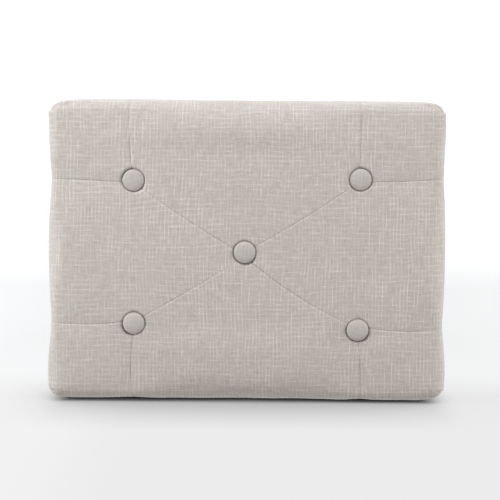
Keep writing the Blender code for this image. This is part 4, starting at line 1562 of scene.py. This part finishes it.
    def map_cloth(self, sheet: Object) -> None:
        """Lays the cloth map in metres: flat on the face, down the sides, broken where the corner pleats lap.

        Args:
            sheet: the finished sheet, still without thickness.
        """
        form, mesh = self.form, sheet.data
        spot = read_points(sheet)[read_whole(mesh.loops, "vertex_index")]
        middle = np.repeat(read_rows(mesh.polygons, "center"), read_whole(mesh.polygons, "loop_total"), axis=0)
        spine, out, reach = form.edge_frame(spot)
        _, out_mid, _ = form.edge_frame(middle)
        roll, full = form.roll_radius, form.corner_radius
        axis = form.edge_top - roll
        bent = roll * np.arctan2(np.maximum(0.0, reach - (full - roll)), np.maximum(1e-6, spot[:, 2] - axis))
        under = np.where(spot[:, 2] < form.hem_level + 0.002, np.maximum(0.0, full - reach), 0.0)
        drop = np.where(spot[:, 2] > axis, bent, roll * math.pi / 2 + np.maximum(0.0, axis - spot[:, 2]) + under)
        drop = np.where(reach < full - roll - 0.0005, 0.0, drop)
        turn = np.arctan2(np.abs(out[:, 0]), np.abs(out[:, 1]))
        short = np.abs(out_mid[:, 0]) > np.abs(out_mid[:, 1])
        short &= np.abs(middle[:, 1]) < self.corner.line(form)
        wrap = np.sign(spot[:, 0]) * full * np.where(np.abs(spine[:, 0]) < form.half_x - full - 1e-6, 0.0, turn)
        long_u, long_v = spine[:, 0] + wrap, np.sign(spot[:, 1]) * (form.half_y - roll + drop)
        short_u, short_v = np.sign(spot[:, 0]) * (form.half_x - roll + drop), spot[:, 1]
        flat = drop <= 0.0
        u = np.where(flat, spot[:, 0], np.where(short, short_u, long_u))
        v = np.where(flat, spot[:, 1], np.where(short, short_v, long_v))
        for fold in form.folds:
            run, side = fold.measure(middle)
            last = 1.0 if fold.over else 1.0 - smooth(run, fold.length - 0.02, fold.length)
            tucked = self.tuck * fold.strength * np.sign(side) * np.exp(-np.abs(side) / self.tuck_width)
            tucked *= smooth(run, 0.0, 0.02) * last
            u, v = u + tucked * fold.aside.x, v + tucked * fold.aside.y
        cloth = mesh.uv_layers.new(name="cloth")
        cloth.data.foreach_set("uv", np.column_stack((u, v)).ravel())

    def build(self, finishes: Finishes) -> Object:
        """Builds the cover.

        Args:
            finishes: the stool's materials.

        Returns:
            The swelled sheet as it was before it was tufted, from which the padding is shaped.
        """
        sheet = self.lay_sheet()
        self.filling.swell(self.form, sheet)
        shape = copy_piece(sheet, "swelled_shape")
        subdivide(sheet)
        self.sink_tufts(sheet)
        self.cut_folds(sheet)
        self.press_folds(sheet)
        self.ruffle(sheet)
        self.map_cloth(sheet)
        thicken(sheet, self.cloth_thickness)
        soften(sheet)
        put_in_frame(sheet, "seat_cover", finishes.linen)
        return shape


@dataclass
class Padding:
    """The foam on the deck and the wadding round the rails, both shaped from the swelled sheet."""

    form: SeatForm
    foam_room: float = 0.0026
    foam_edge: float = 0.003
    wadding_room: float = 0.0019
    wadding_thickness: float = 0.0042
    well_radius: float = 0.0185
    well_depth: float = 0.0145
    fill: float = 0.95

    def slice_off(self, piece: Object, level: float, above: bool, closed: bool) -> None:
        """Cuts a piece level and drops one half.

        Args:
            piece: the piece to cut.
            level: the height of the cut.
            above: whether the part above it is dropped.
            closed: whether the cut is filled.
        """
        open_mesh(piece, "VERT")
        bpy.ops.mesh.bisect(
            plane_co=level * UP, plane_no=UP, use_fill=closed, clear_outer=above, clear_inner=not above
        )
        bpy.ops.object.mode_set(mode="OBJECT")

    def draw_in(self, piece: Object, room: float) -> None:
        """Draws a sheet inward along its normals."""
        write_points(piece, read_points(piece) - room * read_normals(piece))

    def build(self, shape: Object, finishes: Finishes) -> None:
        """Builds both pieces.

        Args:
            shape: the swelled sheet, which is used up.
            finishes: the stool's materials.
        """
        self.build_foam(copy_piece(shape, "foam_core"), finishes.foam)
        shape.name = shape.data.name = "wadding_band"
        self.build_band(shape, finishes.wadding)

    def build_foam(self, foam: Object, stuff: Material) -> None:
        """Shapes the foam: hollowed under the tufts, cut level on the deck and eased at its edges.

        Args:
            foam: a copy of the swelled sheet.
            stuff: its material.
        """
        low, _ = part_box("foam_pad")
        self.draw_in(foam, self.foam_room)
        points, top = read_points(foam), self.form.edge_top
        for tuft in self.form.tufts.values():
            under = (gap_to(points, tuft) < self.well_radius) & (points[:, 2] > top - 0.02)
            points[under, 2] = top - self.well_depth
        write_points(foam, points)
        self.slice_off(foam, low[2], above=False, closed=True)
        eased = foam.modifiers.new("eased", "BEVEL")
        eased.width, eased.segments = self.foam_edge, 2
        eased.limit_method, eased.angle_limit = "ANGLE", math.radians(60)
        apply_modifier(foam, eased)
        self.dress(foam, "foam_pad", "foam", stuff)

    def build_band(self, band: Object, stuff: Material) -> None:
        """Cuts the wadding out of the swelled sheet's sides.

        Args:
            band: the swelled sheet.
            stuff: its material.
        """
        low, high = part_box("side_wadding")
        self.draw_in(band, self.wadding_room)
        self.slice_off(band, high[2], above=True, closed=False)
        self.slice_off(band, low[2], above=False, closed=False)
        thicken(band, self.wadding_thickness)
        self.dress(band, "side_wadding", "wadding", stuff)

    def dress(self, piece: Object, node: str, slot: str, stuff: Material) -> None:
        """Finishes one padded piece and puts it in place of its solid.

        Args:
            piece: the piece.
            node: the solid.
            slot: not used.
            stuff: its material.
        """
        soften(piece, 50.0)
        put_in_frame(piece, node, stuff)


@dataclass
class CoveredButton:
    """A cloth-covered tuft button: a low dome whose cloth is gathered under its rim."""

    place: Place
    radius: float = 0.0122
    rim_radius: float = 0.0116
    tuck_radius: float = 0.0106
    skirt: float = 0.0018
    recess: float = 0.0017
    lift: float = 0.0014
    sides: int = 72
    dome_rings: int = 9
    dome_power: float = 0.82
    gathers: int = 18
    gather_depth: float = 0.006

    def profile(self, rise: float) -> Iterator[tuple[float, float]]:
        """Lists the rings from the tucked cloth round the rim to the crown.

        Args:
            rise: the button's height.

        Yields:
            Each ring's radius and level.
        """
        yield self.tuck_radius, 0.0
        yield self.rim_radius, 0.0
        yield self.radius - 0.0001, self.skirt * 0.5
        for step in range(self.dome_rings):
            turn = math.pi / 2 * step / self.dome_rings
            yield self.radius * math.cos(turn) ** self.dome_power, self.skirt + (rise - self.skirt) * math.sin(turn)

    def build(self, finishes: Finishes) -> None:
        """Builds the button in place of its cap.

        Args:
            finishes: the stool's materials.
        """
        node = f"button_cap_{self.place.word}"
        low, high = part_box(node)
        base, rise = low[2] + self.lift, high[2] - low[2]
        middle = Vector(((low[0] + high[0]) / 2, (low[1] + high[1]) / 2, base + self.recess))
        button = add_piece(
            f"covered_button_{self.place.word}", "circle", vertices=self.sides, radius=self.tuck_radius,
            fill_type="NGON", location=middle,
        )
        open_mesh(button, "EDGE")
        bpy.ops.mesh.region_to_loop()
        radius, level = self.tuck_radius, self.recess
        for next_radius, next_level in self.profile(rise):
            bpy.ops.mesh.extrude_edges_move(TRANSFORM_OT_translate={"value": (next_level - level) * UP})
            ratio = next_radius / radius
            bpy.ops.transform.resize(value=(ratio, ratio, 1.0), center_override=middle)
            radius, level = next_radius, next_level
        bpy.ops.mesh.extrude_edges_move(TRANSFORM_OT_translate={"value": (rise - level) * UP})
        bpy.ops.mesh.merge(type="CENTER")
        bpy.ops.mesh.select_all(action="SELECT")
        bpy.ops.mesh.normals_make_consistent(inside=False)
        bpy.ops.object.mode_set(mode="OBJECT")
        bpy.ops.object.transform_apply(location=True, rotation=True, scale=True)
        self.gather(button, middle, base)
        subdivide(button)
        self.map_cloth(button, middle)
        soften(button, 60.0)
        put_in_frame(button, node, finishes.button_linen)

    def gather(self, button: Object, middle: Vector, rim: float) -> None:
        """Draws the cloth into small gathers round the rim, set differently on each button.

        Args:
            button: the button.
            middle: its middle.
            rim: the rim's level.
        """
        side_x, side_y = self.place.sides
        points = read_points(button)
        away = points[:, :2] - np.array(middle.xy)
        turn = np.arctan2(away[:, 1], away[:, 0]) + 0.7 * side_x + 0.4 * side_y
        wave = np.sin(self.gathers * turn) + 0.5 * np.sin(7.0 * turn + 1.0)
        share = 1.0 - smooth(points[:, 2], rim + 0.5 * self.skirt, rim + 1.8 * self.skirt)
        outer = np.linalg.norm(away, axis=1) > self.tuck_radius + 0.0003
        points[:, :2] += away * (self.gather_depth * wave * share * outer)[:, None]
        write_points(button, points)

    def map_cloth(self, button: Object, middle: Vector) -> None:
        """Lays the button's cloth map in metres, a little turned on each button.

        Args:
            button: the button.
            middle: its middle.
        """
        side_x, side_y = self.place.sides
        turn = 0.22 * side_x - 0.13 * side_y + 0.05
        cloth = button.data.uv_layers.new(name="cloth")
        for loop in button.data.loops:
            spot = button.data.vertices[loop.vertex_index].co - middle
            gap = spot.xy.length
            arc = (gap + max(0.0, 0.003 - spot.z) * 0.5) / max(gap, 1e-6)
            u = (spot.x * math.cos(turn) - spot.y * math.sin(turn)) * arc
            v = (spot.x * math.sin(turn) + spot.y * math.cos(turn)) * arc
            cloth.data[loop.index].uv = (u + 0.9 + 0.1 * side_x, v + 0.7 + 0.1 * side_y)


@dataclass
class DustCloth:
    """The dark cloth under the seat, cut to the rails' outside and pinned with staples."""

    columns: int = 84
    lines: int = 62
    corner_radius: float = 0.012
    thickness: float = 0.0005
    sag: float = 0.0012
    ripple: float = 0.0006
    pucker: float = 0.00012
    staple_gap: float = 0.034
    staple_inset: float = 0.0045
    staple_margin: float = 0.012
    staple_size: tuple[float, float, float] = (0.0100, 0.0010, 0.0006)
    staple_edge: float = 0.00022

    def build(self, finishes: Finishes) -> None:
        """Builds the cloth in place of its solid, then its staples.

        Args:
            finishes: the stool's materials.
        """
        _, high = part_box("dust_cover")
        half = np.array((high[0], high[1]))
        cloth = add_piece("dust_cloth", "grid", x_subdivisions=self.columns, y_subdivisions=self.lines, size=2)
        places = round_corners(read_points(cloth)[:, :2] * half, half, self.corner_radius)
        write_points(cloth, np.column_stack((places, self.level(places, half, high[2]))))
        lay = cloth.data.uv_layers.new(name="cloth")
        for loop in cloth.data.loops:
            lay.data[loop.index].uv = cloth.data.vertices[loop.vertex_index].co.xy
        thicken(cloth, self.thickness)
        soften(cloth, 60.0)
        put_in_frame(cloth, "dust_cover", finishes.dust_cloth)
        self.staple(high, finishes.zinc)

    def level(self, places: Array, half: Array, top: float) -> Array:
        """The cloth's level: it sags between the legs, ripples a little and puckers at the staples.

        Args:
            places: rows of x and y.
            half: half the cloth's width and half its length.
            top: the level of the rails' underside.

        Returns:
            The level at each place.
        """
        edge = np.min(half - np.abs(places), axis=1)
        legs = [centre_of(f"leg_{place.word}").xy for place in Place if place is not Place.CENTRE]
        near_leg = np.max(
            [1.0 - smooth(np.max(np.abs(places - np.array(leg)), axis=1), 0.022, 0.05) for leg in legs], axis=0
        )
        loose = smooth(edge, 0.012, 0.06) * (1.0 - near_leg)
        ripple = np.array([noise.noise(Vector((spot[0] * 24.0, spot[1] * 24.0, 0.0))) for spot in places])
        wave = np.sin(2 * math.pi * (places[:, 0] + places[:, 1]) / self.staple_gap)
        pucker = wave * (1.0 - smooth(edge, 0.006, 0.03))
        sunk = loose * (self.sag + self.ripple * ripple)
        return top - 0.0001 - sunk - self.pucker * (pucker + 1.0) * (1.0 - near_leg)

    def spots(self, half_x: float, half_y: float) -> Iterator[tuple[float, float, float]]:
        """Lists the staples' places.

        Args:
            half_x: half the cloth's width.
            half_y: half its length.

        Yields:
            Each staple's x, y and turn about Z.
        """
        run_x, run_y = half_x - self.staple_inset, half_y - self.staple_inset
        for run, far, turned in ((run_x, run_y, False), (run_y, run_x, True)):
            reach = run - self.staple_margin
            count = int(2 * reach / self.staple_gap)
            for index in range(count + 1):
                at = -reach + 2 * reach * index / count
                for side in (-1.0, 1.0):
                    slant = 0.10 * math.sin(5.0 * index + 2.0 * side)
                    yield (side * far, at, slant + math.pi / 2) if turned else (at, side * far, slant)

    def staple(self, high: Vector, stuff: Material) -> None:
        """Drives the staples round the cloth's border and joins them into one piece.

        Args:
            high: the upper corner of the solid that the cloth replaces.
            stuff: the staples' material.
        """
        level = high[2] - self.thickness - 0.0007
        wires = []
        for x, y, turn in self.spots(high[0], high[1]):
            wire = add_piece("staple", "cube", size=1.0, location=(x, y, level), rotation=(0.0, 0.0, turn))
            wire.scale = self.staple_size
            bpy.ops.object.transform_apply(location=True, rotation=True, scale=True)
            open_mesh(wire, "EDGE")
            bpy.ops.mesh.bevel(offset=self.staple_edge, segments=2, affect="EDGES")
            bpy.ops.object.mode_set(mode="OBJECT")
            wires.append(wire)
        select_only(wires[0])
        for wire in wires:
            wire.select_set(True)
        bpy.ops.object.join()
        staples = bpy.context.object
        staples.name = staples.data.name = "dust_cloth_staples"
        soften(staples, 40.0)
        put_in_frame(staples, None, stuff)


@dataclass
class Joinery:
    """The stool's hard pieces: the kept solids with their finishes."""

    finishes: Finishes

    def dress(self) -> None:
        """Gives every kept solid its finish, and leaves the replaced ones."""
        for name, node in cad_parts.items():
            stuff = self.finishes.for_node(name)
            if stuff is None:
                continue
            node.data.materials.clear()
            node.data.materials.append(stuff)
            log.info("%s finished in %s", name, stuff.name)


@dataclass(frozen=True)
class Softbox:
    """A square lamp that faces the seat, with its place from the middle of the seat's face, its side and its watts."""

    name: str
    place: tuple[float, float, float]
    size: float
    power: float
    tint: tuple[float, float, float] = (0.90, 0.955, 1.0)

    def hang(self, level: float) -> None:
        """Hangs the lamp.

        Args:
            level: the level of the seat's face.
        """
        lamp = bpy.data.lights.new(self.name, "AREA")
        lamp.size, lamp.energy, lamp.color = self.size, self.power, self.tint
        softbox = bpy.data.objects.new(self.name, lamp)
        bpy.context.collection.objects.link(softbox)
        softbox.location = Vector(self.place) + level * UP
        softbox.rotation_euler = Vector(self.place).to_track_quat("Z", "Y").to_euler()
        softbox.visible_camera = softbox.visible_glossy = False


@dataclass
class Studio:
    """The pale studio: floor, the pale sweep beside the seat with a contact shadow painted on it, soft light from all
    round and the camera.
    """

    distance: float = 2.2
    lean: float = 0.150
    frame_width: float = 0.5545
    aim: tuple[float, float] = (0.0038, 0.0014)
    aim_depth: float = 0.006
    roll: float = 0.30
    sensor: float = 36.0
    ambient: float = 0.42
    floor_size: float = 6.0
    floor_bounce: float = 0.88
    paper_glow: float = 0.756
    paper_shade: float = 0.334
    sweep_width: float = 3.0
    sweep_height: float = 2.4
    sweep_gap: float = 0.0012
    sweep_slant: float = 0.0027
    # How far and how steeply the contact shadow painted on the sweep reaches.
    painted_shadow_reach: float = 0.20
    painted_shadow_power: float = 0.76
    lamps: tuple[Softbox, ...] = (
        Softbox("overhead_softbox", (-0.20, 1.05, 0.48), 0.9, 7.4),
        Softbox("left_softbox", (-1.0, 0.10, 0.36), 0.5, 5.3),
        Softbox("right_softbox", (1.0, 0.10, 0.23), 0.5, 4.2),
    )

    def build(self) -> None:
        """Builds the studio."""
        _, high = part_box("seat_cover")
        self.light(high[2])
        self.lay_floor()
        self.hang_sweep()
        self.stand_camera(high[2])

    def light(self, level: float) -> None:
        """Surrounds the stool with soft light, white where the camera sees it, and hangs the lamps.

        Args:
            level: the level of the seat's face.
        """
        world = bpy.data.worlds.new("studio")
        bpy.context.scene.world = world
        world.use_nodes = True
        nodes = Nodes(world.node_tree)
        x, y, z = nodes.add("SeparateXYZ", Vector=nodes.add("TexCoord").outputs["Generated"]).outputs
        glow: Any = self.ambient
        for axis, sign, gain in ((y, 1.0, 0.55), (y, -1.0, -0.02), (x, -1.0, 0.47), (x, 1.0, 0.36), (z, 1.0, -0.06)):
            lobe = nodes.math("MAXIMUM", nodes.math("MULTIPLY", axis, sign), 0.0)
            glow = nodes.math("MULTIPLY_ADD", lobe, gain, glow)
        shown = nodes.mix(self.seen_directly(nodes), glow, 1.0)
        nodes.dress(world.node_tree.nodes["Background"], Color=WHITE, Strength=shown)
        for lamp in self.lamps:
            lamp.hang(level)

    def seen_directly(self, nodes: Nodes) -> NodeSocket:
        """1 where the camera looks straight, through glass or by way of a shine, and 0 for light that is scattered.

        Args:
            nodes: the node helper of the studio's material or world.

        Returns:
            The share.
        """
        path = nodes.add("LightPath")
        straight = nodes.math("MAXIMUM", path.outputs["Is Camera Ray"], path.outputs["Is Transmission Ray"])
        return nodes.math("MAXIMUM", straight, path.outputs["Is Glossy Ray"])

    def bare_material(self, name: str) -> tuple[Material, Nodes]:
        """Starts a stage material without a surface.

        Args:
            name: the material's name.

        Returns:
            The material and its node helper.
        """
        stuff = bpy.data.materials.new(name)
        stuff.use_nodes = True
        stuff.node_tree.nodes.remove(stuff.node_tree.nodes["Principled BSDF"])
        return stuff, Nodes(stuff.node_tree)

    def show(self, nodes: Nodes, share: NodeSocket, first: NodeSocket, second: NodeSocket) -> None:
        """Mixes two shaders into a material's surface.

        Args:
            nodes: the material's node helper.
            share: the second one's share.
            first: the first shader.
            second: the second shader.
        """
        shown = nodes.fill(nodes.add("MixShader"), share, first, second)
        nodes.feed(nodes.tree.nodes["Material Output"], "Surface", shown)

    def lay_floor(self) -> None:
        """Lays the pale floor, which keeps the stool's shadow, and whose glow is painted greyer in front of the seat.
        """
        floor = add_piece("studio_floor", "plane", size=1.0)
        write_points(floor, read_points(floor) * (self.floor_size, self.floor_size, 1.0))
        floor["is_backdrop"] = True
        stuff, nodes = self.bare_material("studio_paper")
        spot = nodes.place()
        seen = self.seen_directly(nodes)
        length = nodes.add("VectorMath", {"operation": "LENGTH"}, Vector=spot).outputs["Value"]
        far = nodes.ease(length, 0.9, 2.4)
        # Painted falloff of light: the glow is greyer in front of the seat, white behind it and far off.
        pale = nodes.ease(nodes.add("SeparateXYZ", Vector=spot).outputs[1], -0.085, -0.02)
        tone = nodes.blend(nodes.math("MAXIMUM", pale, far), linear(230, 230, 230), WHITE)
        lift = nodes.mix(far, self.paper_glow, 1.0)
        glow = nodes.add("Emission", Color=tone, Strength=nodes.math("MULTIPLY", seen, lift))
        shade = nodes.math("MULTIPLY", nodes.math("SUBTRACT", 1.0, far), self.paper_shade)
        grey = nodes.add("CombineColor", Red=shade, Green=shade, Blue=shade).outputs[0]
        bounce = (self.floor_bounce, self.floor_bounce, self.floor_bounce, 1.0)
        matt = nodes.add("BsdfDiffuse", Color=nodes.blend(seen, bounce, grey))
        paper = nodes.fill(nodes.add("AddShader"), matt.outputs[0], glow.outputs[0])
        below = nodes.math("MULTIPLY", seen, nodes.add("NewGeometry").outputs["Backfacing"])
        self.show(nodes, below, paper, nodes.add("BsdfTransparent").outputs[0])
        floor.data.materials.append(stuff)

    def hang_sweep(self) -> None:
        """Hangs the pale sweep along the seat's front edge, seen from the seat's side only, with a contact shadow
        painted into its glow.
        """
        low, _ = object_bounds()
        sweep = add_piece("studio_sweep", "plane", size=1.0)
        points = read_points(sweep)
        across = points[:, 0] * -self.sweep_width
        along = low[1] - self.sweep_gap - self.sweep_slant * across
        write_points(sweep, np.column_stack((across, along, points[:, 1] * self.sweep_height + self.sweep_height / 2)))
        for ray in ("diffuse", "glossy", "transmission", "shadow", "volume_scatter"):
            setattr(sweep, "visible_" + ray, False)
        stuff, nodes = self.bare_material("studio_sweep_paper")
        x, _, z = nodes.add("SeparateXYZ", Vector=nodes.place()).outputs
        out = nodes.math("ABSOLUTE", x)
        aside, rise = nodes.ease(out, 0.42, 1.1, 1.0, 0.0), nodes.ease(z, 0.17, 0.41)
        top = nodes.ease(z, 1.1, 1.8, 1.0, 0.0)
        front = nodes.math("SUBTRACT", 1.0, nodes.add("NewGeometry").outputs["Backfacing"])
        share = nodes.math("MULTIPLY", nodes.math("MULTIPLY", aside, rise), nodes.math("MULTIPLY", top, front))
        # Painted contact shadow: ambient occlusion near the seat darkens the sweep's glow towards a near-black brown.
        near = nodes.add("AmbientOcclusion", Distance=self.painted_shadow_reach).outputs["AO"]
        # The painted shadow is eased off beyond the seat's ends, more on the left than on the right.
        lifted = nodes.math("ADD", nodes.ease(x, -0.29, -0.222, 0.95, 0.58), nodes.ease(x, 0.0, 0.1, 0.0, 0.24))
        away = nodes.math("MULTIPLY", nodes.ease(out, 0.200, 0.240), lifted)
        clear_of_painted_shadow = nodes.mix(away, nodes.math("POWER", near, self.painted_shadow_power), 1.0)
        # Painted light: the sweep's plain glow is a little lighter to the left of the seat than elsewhere.
        plain = nodes.blend(nodes.ease(x, -0.22, -0.11, 1.0, 0.0), linear(236, 236, 237), linear(242, 242, 242))
        paper = nodes.add("Emission", Color=nodes.blend(clear_of_painted_shadow, linear(26, 22, 20), plain))
        self.show(nodes, share, nodes.add("BsdfTransparent").outputs[0], paper.outputs[0])
        sweep.data.materials.append(stuff)
        sweep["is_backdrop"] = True

    def stand_camera(self, level: float) -> None:
        """Stands the camera over the seat, leaning a little to its rear, as in the photo.

        Args:
            level: the level of the seat's face.
        """
        aim = Vector((*self.aim, level - self.aim_depth))
        spot = aim + Vector((0.0, self.lean, math.sqrt(self.distance ** 2 - self.lean ** 2)))
        eye = bpy.data.cameras.new("studio_camera")
        eye.sensor_width = self.sensor
        eye.lens = self.sensor * self.distance / self.frame_width
        camera = bpy.data.objects.new("studio_camera", eye)
        bpy.context.collection.objects.link(camera)
        ahead = (aim - spot).normalized()
        right = Vector((1.0, 0.0, 0.0))
        up = right.cross(ahead)
        tilt = math.radians(self.roll)
        right, up = right * math.cos(tilt) + up * math.sin(tilt), up * math.cos(tilt) - right * math.sin(tilt)
        turned = Matrix((right, up, -ahead)).transposed()
        camera.matrix_world = Matrix.Translation(spot) @ turned.to_4x4()
        bpy.context.scene.camera = camera


def main() -> None:
    """Builds the stool's soft pieces, dresses the kept solids and sets up the studio."""
    logging.basicConfig(level=logging.INFO, format="%(message)s")
    finishes = Finishes()
    form = SeatForm()
    shape = SeatCover(form).build(finishes)
    Padding(form).build(shape, finishes)
    for place in Place:
        CoveredButton(place).build(finishes)
    DustCloth().build(finishes)
    Joinery(finishes).dress()
    bpy.context.scene.view_settings.view_transform = "Standard"
    Studio().build()


if __name__ == "__main__":
    main()
